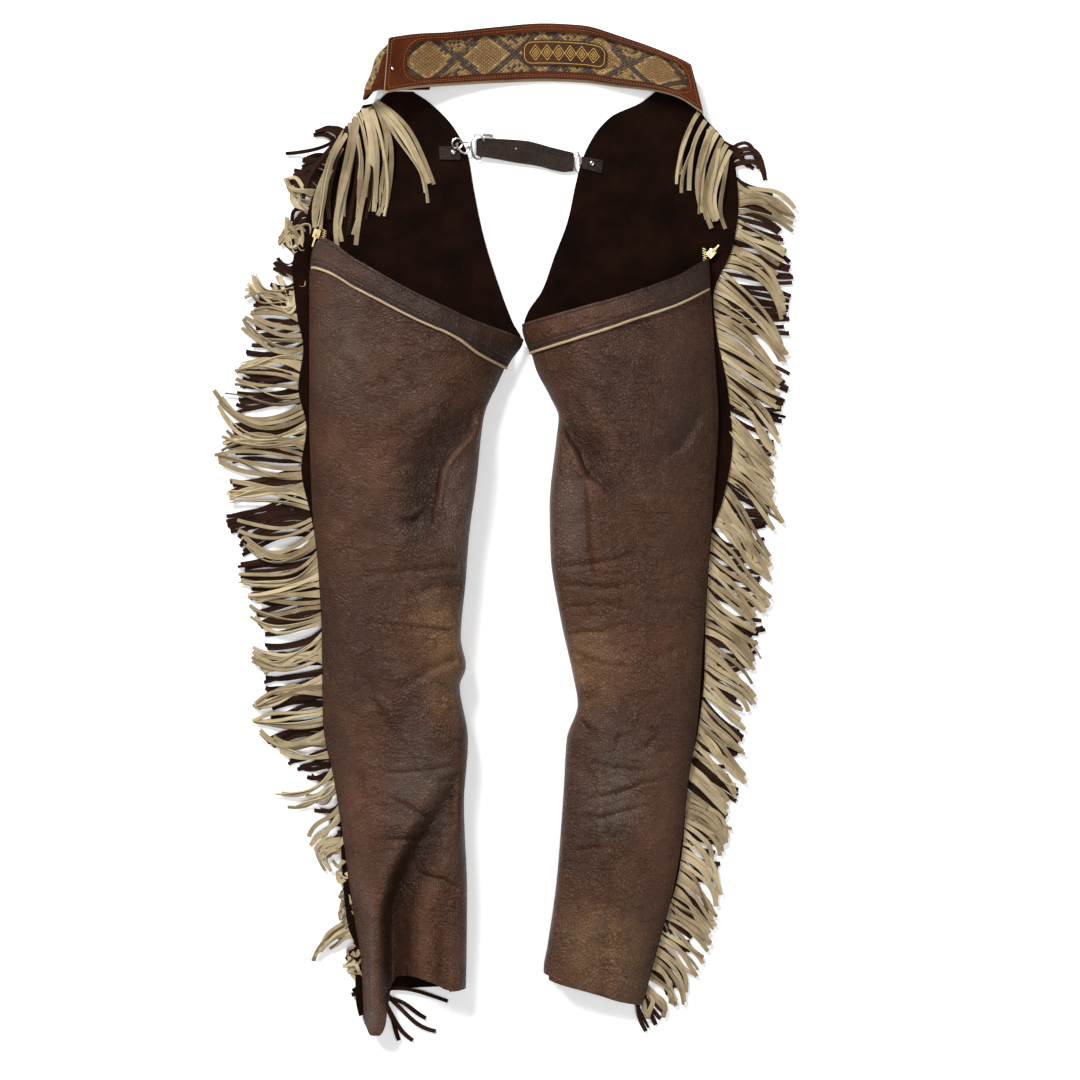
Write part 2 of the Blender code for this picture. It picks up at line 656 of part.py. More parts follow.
def wire(name, points, radius, finish, closed=False):
    """A bent metal wire through a few points, in millimetres."""
    curve = bpy.data.curves.new(name, "CURVE")
    curve.dimensions = "3D"
    curve.bevel_depth = radius * MM
    curve.bevel_resolution = 2
    curve.resolution_u = 4
    curve.use_fill_caps = True
    spline = curve.splines.new("BEZIER")
    spline.bezier_points.add(len(points) - 1)
    for handle, point in zip(spline.bezier_points, points):
        handle.co = Vector(point) * MM
        handle.handle_left_type = handle.handle_right_type = "AUTO"
    spline.use_cyclic_u = closed
    made = bpy.data.objects.new(name, curve)
    made.data.materials.append(finish)
    parts.objects.link(made)
    return made


def turned(name, place, profile, finish, steps=20):
    """A turned piece standing on Z: the profile is (radius, z) from the outside top down."""
    mesh = bpy.data.meshes.new(name)
    points = [Vector((r * MM, 0, z * MM)) for r, z in profile]
    mesh.from_pydata(points, [(k, k + 1) for k in range(len(points) - 1)], [])
    made = add_object(name, mesh, finish)
    made.location = Vector(place) * MM
    screw = made.modifiers.new("turn", "SCREW")
    screw.steps = steps
    screw.render_steps = steps
    screw.use_merge_vertices = True
    screw.merge_threshold = 0.00001
    screw.use_smooth_shade = True
    return made


def box(name, place, size, finish, turn=0.0, round_by=0.3):
    mesh = bpy.data.meshes.new(name)
    cube = bmesh.new()
    bmesh.ops.create_cube(cube, size=1)
    bmesh.ops.scale(cube, vec=Vector(size) * MM, verts=cube.verts)
    cube.to_mesh(mesh)
    cube.free()
    made = add_object(name, mesh, finish)
    made.location = Vector(place) * MM
    made.rotation_euler.z = turn
    if round_by:
        edge = made.modifiers.new("edge", "BEVEL")
        edge.width = round_by * MM
        edge.segments = 2
    return made


def unite(name, pieces, finish):
    """One solid from several overlapping ones."""
    bpy.context.view_layer.update()
    graph = bpy.context.evaluated_depsgraph_get()
    solids = []
    for piece in pieces:
        mesh = bpy.data.meshes.new_from_object(piece.evaluated_get(graph))
        mesh.transform(piece.matrix_world)
        joined = bmesh.new()
        joined.from_mesh(mesh)
        bmesh.ops.remove_doubles(joined, verts=joined.verts, dist=0.000001)
        bmesh.ops.recalc_face_normals(joined, faces=joined.faces)
        joined.to_mesh(mesh)
        joined.free()
        solids.append(mesh)
    for piece in pieces:
        bpy.data.objects.remove(piece)
    made = add_object(name, solids[0], finish)
    made.data.materials.clear()
    made.data.materials.append(finish)
    for k, mesh in enumerate(solids[1:]):
        helper = bpy.data.objects.new(f"{name}_join_{k}", mesh)
        helper.hide_render = True
        helper.display_type = "WIRE"
        cutters.objects.link(helper)
        union = made.modifiers.new(f"join {k}", "BOOLEAN")
        union.operation = "UNION"
        union.object = helper
    return made


ZipPull = namedtuple("ZipPull", "x y turn length")
PULLS = {
    "left": ZipPull(-190.4, 303.0, math.radians(-107), 14.0),
    "right": ZipPull(202.4, 283.2, math.radians(48), 11.0),
}
PULL_EYE = 2.6  # width round the window at the bridge
PULL_BAR = 1.6
PULL_THICK = 1.2
SLIDER_TOP = ZIP_Z + ZIP_TAPE / 2 + GAP + 2.2
PULL_Z = SLIDER_TOP + 1.2


def zip_slider(side):
    """The slider's plate on the tape, and the bridge that holds the pull."""
    pull = PULLS[side]
    plate_z = SLIDER_TOP - 1.1
    plate = box("plate", (pull.x, pull.y, plate_z), (9, 7, 2.2), brass, turn=pull.turn, round_by=0.4)
    ahead = Vector((math.cos(pull.turn), math.sin(pull.turn), 0))
    start = Vector((pull.x, pull.y, 0))
    arch = [
        (-2.9, SLIDER_TOP - 0.6),
        (-2.7, PULL_Z + 0.3),
        (0, PULL_Z + 1.75),
        (2.7, PULL_Z + 0.3),
        (2.9, SLIDER_TOP - 0.6),
    ]
    bridge = wire("bridge", [start + ahead * a + Vector((0, 0, z)) for a, z in arch], 0.55, brass)
    return unite(f"{side}_zip_slider", [plate, bridge], brass)


def zip_pull(side):
    """A tab with a window near one end; its end bar turns beneath the slider's bridge."""
    pull = PULLS[side]
    curve = bpy.data.curves.new("pull", "CURVE")
    curve.dimensions = "2D"
    curve.fill_mode = "BOTH"
    curve.extrude = PULL_THICK / 2 * MM
    eye, bar = PULL_EYE / 2, PULL_BAR / 2
    upper = [(pull.length, bar * 0.6), (pull.length - 0.6, bar), (6.5, bar), (5.2, eye), (-0.65, eye)]
    outline = upper + [(x, -y) for x, y in reversed(upper)]
    window = [(0.65, eye - 0.45), (4.6, eye - 0.45), (4.6, 0.45 - eye), (0.65, 0.45 - eye)]
    for ring in (outline, window):
        spline = curve.splines.new("POLY")
        spline.points.add(len(ring) - 1)
        for point, (x, y) in zip(spline.points, ring):
            point.co = (x * MM, y * MM, 0, 1)
        spline.use_cyclic_u = True
    helper = bpy.data.objects.new("pull", curve)
    parts.objects.link(helper)
    bpy.context.view_layer.update()
    mesh = bpy.data.meshes.new_from_object(helper.evaluated_get(bpy.context.evaluated_depsgraph_get()))
    bpy.data.objects.remove(helper)
    welded = bmesh.new()
    welded.from_mesh(mesh)
    bmesh.ops.remove_doubles(welded, verts=welded.verts, dist=0.000001)
    bmesh.ops.recalc_face_normals(welded, faces=welded.faces)
    welded.to_mesh(mesh)
    welded.free()
    made = add_object(f"{side}_zip_pull", mesh, brass)
    made.location = (pull.x * MM, pull.y * MM, PULL_Z * MM)
    made.rotation_euler.z = pull.turn
    return made


# Snap hook on the left tab and the loops that hold the strap
RING_CENTRE = (-50.5, 393.5)
RING_Z = 6.8
HOOK_Z = 5.6
HOOK = [
    (-38.9, 391.0, HOOK_Z), (-39.5, 386.6, HOOK_Z), (-43, 383.8, 6.4), (-47.2, 385.2, 8.2),
    (-49.8, 388.6, 9.5), (-50.8, 391.6, 8.6), (-50.6, 393.6, 6.6),
]
GATE_Z = 4.9
GATE_PIVOT = (-39.0, 394.3)
GATE_TIP = (-48.4, 395.4)
STRAP_LOOP = [
    (-25.8, 381.5, 3.45), (-25.8, 400.4, 3.45), (-31.5, 402.4, 4.2), (-35.6, 399.2, 5.2),
    (-36.4, 391, HOOK_Z), (-35.2, 384, 5.2), (-31.0, 378.2, 4.2),
]
BUCKLE = [
    (-25.0, 403.0, 2.6), (-19.5, 402.6, 2.6), (-14.8, 401.6, 2.6),
]
RIGHT_LOOP = [
    (67.6, 367.5, 2.6), (67.6, 384.4, 2.6), (69.2, 385.2, 2.6), (70.7, 384, 2.6),
    (70.7, 367.5, 2.6), (69.2, 366.2, 2.6),
]


def gate():
    """The sprung gate, lying along -X from its pivot."""
    pivot = Vector((*GATE_PIVOT, GATE_Z))
    tip = Vector((*GATE_TIP, GATE_Z))
    made = wire("snap_gate", [Vector((0, 0, 0)), (tip - pivot) * 0.5, tip - pivot], 0.7, steel)
    made.location = pivot * MM
    return made


def rivet(name, x, y, seat, radius, height, finish):
    """A domed rivet cap that rests on leather."""
    profile = [(0, seat + height)]
    for k in range(1, 5):
        angle = math.radians(90 - k * 20)
        profile.append((radius * math.cos(angle), seat + height * math.sin(angle)))
    profile += [(radius, seat), (0, seat)]
    return turned(name, (x, y, 0), profile, finish)


def eyelet(name, x, y, seat, radius, bore, height, finish):
    """A ring-shaped rivet with an open middle."""
    profile = [
        (radius, seat), (bore, seat), (bore, seat + height * 0.7), (mix(bore, radius, 0.4), seat + height),
        (mix(bore, radius, 0.75), seat + height * 0.85), (radius, seat),
    ]
    return turned(name, (x, y, 0), profile, finish)


# Build
for old in list(bpy.data.objects):
    bpy.data.objects.remove(old)
parts = bpy.data.collections.new("fringed_leather_chaps")
cutters = bpy.data.collections.new("cutters")
bpy.context.scene.collection.children.link(parts)
bpy.context.scene.collection.children.link(cutters)

suede = material("dark_suede", (0.030, 0.017, 0.011), 0.95)
brown_leather = material("brown_leather", (0.095, 0.050, 0.034), 0.5)
rust_leather = material("rust_leather", (0.170, 0.062, 0.028), 0.45)
tan_leather = material("tan_leather", (0.42, 0.27, 0.14), 0.6)
strap_leather = material("strap_leather", (0.040, 0.024, 0.018), 0.55)
tan_suede = material("tan_suede", (0.40, 0.31, 0.19), 0.9)
brown_suede = material("brown_suede", (0.045, 0.026, 0.019), 0.9)
snakeskin = material("snakeskin", (0.36, 0.25, 0.11), 0.5)
patch_leather = material("patch_leather", (0.07, 0.045, 0.038), 0.6)
zip_cloth = material("zip_tape", (0.012, 0.010, 0.010), 0.8)
brass = material("brass", (0.80, 0.66, 0.38), 0.3, 1.0)
steel = material("bright_steel", (0.82, 0.80, 0.75), 0.22, 1.0)

BAND_SHARES = [s for s in COLUMNS_BACK if s > 0.03]
for chap in (LEFT, RIGHT):
    front_panel(chap)
    back_panel(chap)
    strip_on_back(
        f"{chap.name}_thigh_band", chap, 0.4, BAND_WIDTH, BAND_LEATHER, 3, BAND_SHARES, brown_leather
    )
    strip_on_back(
        f"{chap.name}_band_piping", chap, BAND_WIDTH + GAP, BAND_WIDTH + GAP + PIPING_WIDTH, PIPING, 1,
        BAND_SHARES, tan_leather,
    )
    fringe(f"{chap.name}_fringe_tan", chap, TAN_TASSELS[chap.name], TAN_Z, tan_suede)
    fringe(f"{chap.name}_fringe_brown", chap, BROWN_TASSELS[chap.name], BROWN_Z, brown_suede)
    hip_fringe(chap, HIP_HANGING[chap.name])
    zip_tape(chap)
    zip_slider(chap.name)
    zip_pull(chap.name)
hem_fringe(HEM_HANGING)

belt_backing()
rounded_on_belt(
    "belt_inlay", WINDOW_MIDDLE, WINDOW_HALF + 4, WINDOW_LOW - 0.06, WINDOW_HIGH + 0.06, 18, 36,
    -BELT_HALF + BELT_BACKING + BELT_GAP + BELT_INLAY / 2, BELT_INLAY, snakeskin,
)
belt_face()
rounded_on_belt(
    "belt_patch", PATCH_MIDDLE, PATCH_HALF, PATCH_LOW, PATCH_HIGH, 12, 14,
    -BELT_HALF + BELT_BACKING + BELT_INLAY + 2 * BELT_GAP + BELT_PATCH / 2, BELT_PATCH, patch_leather,
)
yoke("left_front_yoke", LEFT_YOKE_EDGE, LEFT_YOKE, 1, rust_leather)
yoke("right_front_yoke", RIGHT_YOKE_EDGE, RIGHT_YOKE, -1, rust_leather)
yoke_inlay()

strap()
tab("left_strap_tab", [(-69, 391), (-47, 391.5), (-47.5, 377.5), (-68, 378)])
tab("right_strap_tab", [(73.5, 381), (95, 377), (93.5, 364.5), (73.7, 368.8)])
TAB_TOP = TAB_Z + TAB_LEATHER / 2 + GAP
rivet("left_tab_rivet", -54.7, 385, TAB_TOP, 2.8, 2.0, steel)
eyelet("right_tab_eyelet", 84, 374, TAB_TOP, 2.5, 0.8, 1.3, steel)
rivet("strap_rivet", 8, 388.6, 3.4 + STRAP_LEATHER / 2 + GAP, 1.1, 0.8, steel)
rivet("belt_rivet", -113.5, 463, 32.4 + GAP, 1.6, 0.9, steel)
ring_points = [
    (RING_CENTRE[0] + 5 * math.cos(a), RING_CENTRE[1] + 5 * math.sin(a), RING_Z)
    for a in (math.tau * k / 8 for k in range(8))
]
wire("tab_ring", ring_points, 0.9, steel, closed=True)
wire("snap_hook", HOOK, 1.3, steel)
gate()
wire("strap_loop", STRAP_LOOP, WIRE, steel, closed=True)
wire("buckle_roller", BUCKLE, 1.4, steel)
wire("right_loop", RIGHT_LOOP, 0.8, steel, closed=True)
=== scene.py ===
# %% [markdown]
# A pair of fringed leather chaps, laid face down on a pale floor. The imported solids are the
# fixed frame. Everything you see is built here round them: leather shells, suede, hundreds of
# fringe strips, stitches, a belt with a snakeskin inlay, and the metal of the front strap.

# %% The frame and the first helpers
import math
import random
from collections import namedtuple

import bpy
import numpy as np
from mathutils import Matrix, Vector


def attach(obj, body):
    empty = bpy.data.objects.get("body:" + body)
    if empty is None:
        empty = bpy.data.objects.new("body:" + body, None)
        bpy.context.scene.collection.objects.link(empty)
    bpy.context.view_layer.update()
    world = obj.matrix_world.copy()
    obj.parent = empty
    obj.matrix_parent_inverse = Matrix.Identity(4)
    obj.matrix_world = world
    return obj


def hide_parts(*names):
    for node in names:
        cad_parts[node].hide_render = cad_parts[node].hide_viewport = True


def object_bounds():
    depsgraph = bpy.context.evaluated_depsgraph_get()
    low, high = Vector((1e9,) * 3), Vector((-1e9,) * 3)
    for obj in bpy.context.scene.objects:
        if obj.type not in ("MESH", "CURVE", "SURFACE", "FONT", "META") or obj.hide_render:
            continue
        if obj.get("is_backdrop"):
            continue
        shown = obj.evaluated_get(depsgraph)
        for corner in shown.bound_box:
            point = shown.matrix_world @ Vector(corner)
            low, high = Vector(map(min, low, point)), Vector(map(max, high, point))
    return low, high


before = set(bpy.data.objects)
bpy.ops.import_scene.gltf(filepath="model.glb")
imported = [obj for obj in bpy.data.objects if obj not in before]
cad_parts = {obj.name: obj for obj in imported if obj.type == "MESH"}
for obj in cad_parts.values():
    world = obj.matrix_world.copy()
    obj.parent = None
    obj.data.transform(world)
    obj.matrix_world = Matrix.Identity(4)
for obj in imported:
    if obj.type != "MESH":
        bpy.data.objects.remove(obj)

MM = 0.001
CAD_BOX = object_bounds()
BODY = "chaps"
print("frame:", len(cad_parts), "nodes")


def mix(a, b, share):
    return a + (b - a) * share


def ease(low, high, t):
    """0 below low, 1 above high and smooth between, on numbers or arrays."""
    u = np.clip((np.asarray(t, float) - low) / (high - low), 0, 1)
    return u * u * (3 - 2 * u)


# %% [markdown]
# The outlines are short tables. A smooth curve that never overshoots runs through each, so a
# few honest measurements give the whole edge. The heights of the layers stack up from the floor:
# brown fringe, tan fringe, front panel, zip, back panel.

# %% Sizes and smooth tables
LEATHER = 1.8
BAND_LEATHER = 1.6
GAP = 0.3
FRINGE_LAYER = 2.2
ZIP_TAPE = 1.6
BAND_WIDTH = 28.0
LAP = 8.0
UNDERLAP = 8.0
SEAM_LIFT = LEATHER + 5 * GAP
BROWN_Z = 0.2 + FRINGE_LAYER / 2
TAN_Z = BROWN_Z + FRINGE_LAYER + GAP
FLOOR_Z = LEATHER / 2
FLANGE_Z = TAN_Z + FRINGE_LAYER / 2 + GAP + LEATHER / 2
ZIP_Z = FLANGE_Z + LEATHER / 2 + GAP + ZIP_TAPE / 2
BACK_EDGE_Z = ZIP_Z + ZIP_TAPE / 2 + 2 * GAP + LEATHER / 2
RIM = math.radians(66)
ROUNDNESS = 2.3


def smooth_at(points, t):
    rows = np.array(sorted(tuple(p)[:2] for p in points), float)
    place, value = rows.T
    slope = np.diff(value) / np.diff(place)
    before, after = slope[:-1], slope[1:]
    total = np.where(before + after == 0, 1, before + after)
    middle = np.where(before * after > 0, 2 * before * after / total, 0)
    tangent = np.concatenate([slope[:1], middle, slope[-1:]])
    t = np.clip(np.asarray(t, float), place[0], place[-1])
    i = np.clip(np.searchsorted(place, t, "right") - 1, 0, len(slope) - 1)
    h = place[i + 1] - place[i]
    u = (t - place[i]) / h
    rise = value[i] * (1 + 2 * u) * (1 - u) ** 2 + value[i + 1] * u * u * (3 - 2 * u)
    return rise + h * (tangent[i] * u * (1 - u) ** 2 - tangent[i + 1] * u * u * (1 - u))


# %% [markdown]
# A leg is two panels. The front panel lies flesh side up and rolls round the inner side; the
# back panel arches over it. A fold is a line of points, each with its depth, and a width; lean
# makes one wall steeper than the other, as where slack leather laps over itself.

# %% The two legs
Edge = namedtuple("Edge", "y x")
Height = namedtuple("Height", "y z")
Share = namedtuple("Share", "y share")
Across = namedtuple("Across", "x y")
Fold = namedtuple("Fold", "line width lean", defaults=[0.0])
Cut = namedtuple("Cut", "outer inner crown rounded ridge side_z power lap")
Zone = namedtuple("Zone", "x0 x1 y0 y1 count length angle spread width depth seed")

LEFT_FOLDS = [
    Fold([(-20, 126, -4), (-40, 103, -11), (-58, 84, -14), (-68, 68, -14), (-72, 42, -12),
          (-76, 20, -7),
          (-81, 2, -3), (-88, -14, 0)], 15, -0.74),
    Fold([(-78, 26, 0), (-92, 17, -5), (-110, 16, 0)], 6, 0.5),
    Fold([(-84, -2, -3), (-96, -26, -4), (-104, -62, 0)], 13, 0.2),
    Fold([(-44, -234, -2), (-62, -262, -7), (-86, -300, -13), (-104, -340, -19), (-113, -372, -22),
          (-114, -410, -23), (-114, -452, -24)], 13, 0.28),
    Fold([(-50, -345, -2), (-64, -335, -4), (-82, -332, -4), (-97, -345, -3)], 5, 0.5),
    Fold([(-77, -352, 0), (-77, -400, 2.6), (-77, -450, 3)], 8),
    Fold([(-53, -350, 0), (-53, -450, 3)], 7),
    Fold([(-65, -352, 0), (-65, -450, -2)], 6),
    Fold([(-150, -330, 0), (-132, -370, 2.5), (-131, -480, 3)], 9),
    Fold([(-95, -60, -1.5), (-70, -49, -3.6), (-40, -47, -3.5)], 5, 0.4),
    Fold([(-140, -38, -1), (-90, -33, -2.4), (-50, -30, -2.6)], 3.5, 0.4),
    Fold([(-125, -84, -1), (-84, -88, -2.6), (-45, -92, -3)], 3.5, -0.4),
    Fold([(-104, -150, -0.8), (-76, -130, -3.4), (-44, -118, -3.2)], 5, 0.4),
    Fold([(-140, -150, 0), (-126, -168, -3.4), (-108, -196, -3), (-92, -212, 0)], 3.4, 0.4),
    Fold([(-158, -128, 0), (-136, -142, -2.6), (-128, -158, 0)], 4),
    Fold([(-128, -170, 3.5), (-118, -186, 0)], 12),
    Fold([(-138, -226, 0), (-112, -232, -2), (-70, -228, -2.2), (-44, -224, -1)], 2.6, 0.3),
    Fold([(-132, -248, 0), (-104, -262, -3), (-78, -276, -2), (-66, -284, 0)], 2.8, 0.4),
    Fold([(-140, -300, 0), (-112, -297, -2.8), (-84, -296, -2.6), (-70, -290, 0)], 2.8, 0.4),
    Fold([(-78, -242, 0), (-52, -236, -2.2), (-42, -226, -2)], 3),
    Fold([(-60, 134, 0), (-96, 116, -1.8), (-132, 92, 0)], 5, 0.3),
    Fold([(-96, 168, 0), (-134, 150, -2), (-170, 126, 0)], 5, 0.3),
    Fold([(-182, 188, 0), (-160, 172, -1.6), (-138, 150, 0)], 4),
    Fold([(-78, 86, 0), (-122, 58, -1.2)], 4),
    Fold([(-184, 26, 0), (-156, 12, -1.6), (-122, 6, 0)], 4, 0.3),
]
RIGHT_FOLDS = [
    Fold([(49, 126, -4), (60, 104, -10), (71, 86, -11), (79, 66, -7), (84, 52, 0)], 10, 0.6),
    Fold([(77, 70, 0), (82, 31, 6), (85, -14, 6), (90, -50, 0)], 13, 0.72),
    Fold([(82, 62, -4), (97, 49, -4), (109, 31, 0)], 4.5, 0.4),
    Fold([(196, 140, 0), (184, 112, -4), (168, 88, -5), (138, 66, 0)], 9, -0.4),
    Fold([(60, -166, -5), (76, -160, -5), (96, -152, 0)], 6, 0.4),
    Fold([(64, -172, -4), (82, -190, -3), (94, -214, 0)], 6, -0.4),
    Fold([(76, -196, 0), (84, -240, -3.2), (86, -300, -3.4), (90, -350, 0)], 7, -0.4),
    Fold([(46, -30, -2), (84, -26, -2.4), (134, -16, 0)], 3, 0.3),
    Fold([(48, -46, -2), (96, -50, -2.4), (150, -42, 0)], 3, 0.3),
    Fold([(50, -70, -2), (92, -66, -2.4), (140, -76, 0)], 3.2, 0.3),
    Fold([(56, -96, -2), (92, -92, -2.2), (126, -82, 0)], 3.4),
    Fold([(188, -28, 0), (164, -38, -1.8), (138, -46, 0)], 3.2),
    Fold([(186, -60, 0), (156, -64, -1.8), (128, -60, 0)], 3.2),
    Fold([(60, -112, -2), (92, -124, -2.2), (130, -128, 0)], 3.4),
    Fold([(184, -104, 0), (160, -112, -1.8), (136, -120, 0)], 4),
    Fold([(84, -222, -1), (104, -226, -3), (132, -230, -2), (150, -226, 0)], 2.6, 0.3),
    Fold([(82, -256, -1), (108, -252, -3.2), (134, -242, -2), (164, -236, 0)], 2.6, 0.3),
    Fold([(66, -274, -1), (92, -276, -3.2), (120, -268, -2), (150, -262, 0)], 2.6, 0.3),
    Fold([(60, -310, -1), (84, -306, -2.4), (112, -304, 0)], 2.6, 0.3),
    Fold([(104, -206, 0), (110, -196, -3), (100, -222, 0)], 3),
    Fold([(128, -214, 0), (142, -200, -2.4), (150, -192, 0)], 3),
    Fold([(70, 150, 0), (96, 138, -2), (120, 120, 0)], 5),
    Fold([(96, 174, 0), (128, 166, -1.6), (152, 150, 0)], 5),
    Fold([(104, -340, 0), (99, -390, -2.2), (96, -446, -2.8)], 8),
    Fold([(60, -350, 0), (72, -372, -2), (86, -396, 0)], 4),
]
LEFT_ZONES = [
    Zone(-178, -60, -40, 60, 34, 34, 8, 26, 2.2, 0.55, 3),
    Zone(-175, -45, -210, -40, 60, 38, 4, 20, 2.1, 0.6, 4),
    Zone(-188, -90, 60, 235, 60, 22, -34, 60, 2.0, 0.5, 5),
    Zone(-150, -48, -330, -210, 34, 30, -22, 40, 2.3, 0.6, 6),
    Zone(-140, -50, -440, -340, 10, 40, 80, 20, 3.0, 0.6, 7),
]
RIGHT_ZONES = [
    Zone(55, 195, -110, 60, 74, 40, 0, 18, 2.1, 0.6, 13),
    Zone(60, 185, -220, -100, 40, 34, -8, 30, 2.2, 0.6, 14),
    Zone(55, 170, -340, -210, 52, 36, -4, 26, 2.1, 0.6, 15),
    Zone(90, 200, 60, 220, 34, 24, 30, 60, 2.1, 0.45, 16),
    Zone(50, 145, -440, -340, 12, 40, 84, 20, 3.0, 0.5, 17),
]


class Leg:
    """One leg: its outline tables, and its surface at any place along and across."""

    def __init__(self, name, side, folds, zones, **tables):
        self.name, self.side, self.zones = name, side, zones
        self.folds = list(folds)
        self.__dict__.update(tables)

    def cut(self, y):
        """The leg cut across at Y: crown, ridge, rolled side and their shape."""
        outer, inner, crown = (smooth_at(t, y) for t in (self.outer, self.inner, self.crown))
        rounded = np.clip(smooth_at(self.roll, y), 0, 1)
        ridge = mix(inner, outer, 0.38)
        side_z = mix(3.6, 0.42 * crown, rounded)
        power = 2 / mix(1.35, ROUNDNESS, rounded)
        return Cut(outer, inner, crown, rounded, ridge, side_z, power, mix(1.0, LAP, rounded))

    def rolled(self, y, angle, inset=0.0):
        cut = self.cut(y)
        across = np.abs(cut.inner - cut.ridge) - inset
        x = cut.ridge - self.side * across * np.cos(angle) ** cut.power
        return x, cut.side_z + (cut.crown - cut.side_z - inset) * np.sin(angle) ** cut.power

    def lap_angle(self, y, distance):
        cut = self.cut(y)
        across = np.abs(cut.inner - cut.ridge)
        return np.arccos(((across - distance) / across) ** (1 / cut.power))

    def relief(self, x, y, z):
        """Every fold and wrinkle, faded out at the seams."""
        inner = smooth_at(self.inner, y)
        clear = ease(2, 15, np.abs(x - inner))
        return clear * ease(8, 26, z) * crease_depth(self.folds, x, y)

    def back(self, share, y, bare=False):
        """X and Z of the back panel: share runs from 0 at the zip to 1 at its lap."""
        cut = self.cut(y)
        out = RIM * (1 - np.clip(share / 0.5, 0, 1))
        x_out = cut.ridge + (cut.outer - cut.ridge) * np.sin(out) / math.sin(RIM)
        rise = (np.cos(out) - math.cos(RIM)) / (1 - math.cos(RIM))
        z_out = BACK_EDGE_Z + (cut.crown - BACK_EDGE_Z) * rise
        inward = mix(math.pi / 2, self.lap_angle(y, cut.lap), np.clip(share / 0.5 - 1, 0, 1))
        x_in, z_in = self.rolled(y, inward)
        x, z = np.where(share < 0.5, x_out, x_in), np.where(share < 0.5, z_out, z_in)
        return (x, z) if bare else (x, z + self.relief(x, y, z))

    def band_y(self, share):
        y = np.full_like(share, 240.0)
        for _ in range(14):
            y = mix(y, smooth_at(self.band_top, self.back(share, y, bare=True)[0]), 0.7)
        return y


def crease_depth(folds, x, y):
    """Soft troughs along lines of points, each with a low lip; x and y are whole grids."""
    total = np.zeros_like(x)
    for fold in folds:
        line = np.array(fold.line, float)
        low, high = line[:, :2].min(axis=0) - 5 * fold.width, line[:, :2].max(axis=0) + 5 * fold.width
        near = (x > low[0]) & (x < high[0]) & (y > low[1]) & (y < high[1])
        if not near.any():
            continue
        px, py = x[near], y[near]
        nearest, depth = np.full_like(px, 1e9), np.zeros_like(px)
        for start, stop in zip(line, line[1:]):
            length = math.dist(start[:2], stop[:2])
            along = (stop[:2] - start[:2]) / length
            s = (px - start[0]) * along[0] + (py - start[1]) * along[1]
            off = (py - start[1]) * along[0] - (px - start[0]) * along[1]
            share = np.clip(s / length, 0, 1)
            wide = fold.width * np.where(off > 0, 1 + fold.lean, 1 - fold.lean)
            away = np.hypot(off / wide, (s - share * length) / fold.width)
            closer = away < nearest
            nearest = np.where(closer, away, nearest)
            depth = np.where(closer, mix(start[2], stop[2], share), depth)
        total[near] += depth * (np.exp(-nearest ** 2) - 0.12 * np.exp(-((nearest - 1.9) ** 2) / 0.5))
    return total


def fine_creases(zones):
    """Small wrinkles scattered over each zone, uneven in length, depth and direction."""
    made = []
    for zone in zones:
        pick = random.Random(zone.seed)
        for _ in range(zone.count):
            x, y = pick.uniform(zone.x0, zone.x1), pick.uniform(zone.y0, zone.y1)
            turn = math.radians(zone.angle + pick.gauss(0, zone.spread / 2))
            half = zone.length * pick.uniform(0.3, 0.9) / 2
            dx, dy, bend = half * math.cos(turn), half * math.sin(turn), pick.uniform(-3, 3)
            depth = -zone.depth * pick.uniform(0.4, 1.6)
            line = [(x - dx, y - dy, 0), (x - bend * math.sin(turn), y + bend * math.cos(turn),
                                          depth), (x + dx, y + dy, 0)]
            made.append(Fold(line, zone.width * pick.uniform(0.8, 1.4), pick.uniform(-0.3, 0.3)))
    return made


LEFT = Leg(
    "left", -1, LEFT_FOLDS, LEFT_ZONES,
    outer=[Edge(-500, -141), Edge(-470, -143), Edge(-425, -145), Edge(-385, -151), Edge(-345, -157),
           Edge(-285, -165), Edge(-235, -173), Edge(-205, -180), Edge(-180, -183), Edge(-100, -184),
           Edge(-25, -188), Edge(30, -194), Edge(130, -197), Edge(255, -197), Edge(282, -195),
           Edge(300, -186)],
    inner=[Edge(-500, -40), Edge(-350, -38), Edge(-265, -41), Edge(-200, -37), Edge(-147, -45),
           Edge(-127, -39), Edge(-100, -44), Edge(-40, -39), Edge(0, -36), Edge(60, -28),
           Edge(100, -24), Edge(122, -21), Edge(160, -5), Edge(180, 3), Edge(198, 13.5),
           Edge(215, 5), Edge(243, -6), Edge(300, -24), Edge(347, -34), Edge(382, -40),
           Edge(410, -54), Edge(434, -77), Edge(448, -98)],
    flange=[Edge(-500, -142), Edge(-455, -152), Edge(-410, -152), Edge(-385, -160),
            Edge(-320, -166), Edge(-262, -168), Edge(-232, -174), Edge(-205, -181),
            Edge(-100, -185), Edge(-20, -189), Edge(20, -196), Edge(70, -206), Edge(110, -201),
            Edge(150, -209), Edge(190, -204), Edge(220, -210), Edge(272, -215), Edge(300, -206),
            Edge(340, -195), Edge(390, -170), Edge(434, -144), Edge(448, -140)],
    crown=[Height(-500, 33), Height(-420, 36), Height(-320, 44), Height(-180, 47), Height(0, 52),
           Height(120, 58), Height(300, 62)],
    roll=[Share(-500, 1.0), Share(90, 1.0), Share(135, 0.45), Share(198, 0.0)],
    back_hem=[Across(-143, -484), Across(-138, -494), Across(-129, -493), Across(-122, -482),
              Across(-117, -447), Across(-108, -436), Across(-92, -433), Across(-75, -437),
              Across(-62, -445), Across(-40, -448)],
    front_hem=[Across(-150, -478), Across(-122, -466), Across(-112, -451), Across(-40, -447)],
    band_top=[Across(-197, 288), Across(-186, 297.5), Across(-150, 274.5), Across(-94, 242),
              Across(-60, 225), Across(-27, 210.5), Across(14, 198)],
    front_top=[Across(-145, 431), Across(-130, 434), Across(-118, 446), Across(-90, 446)],
)
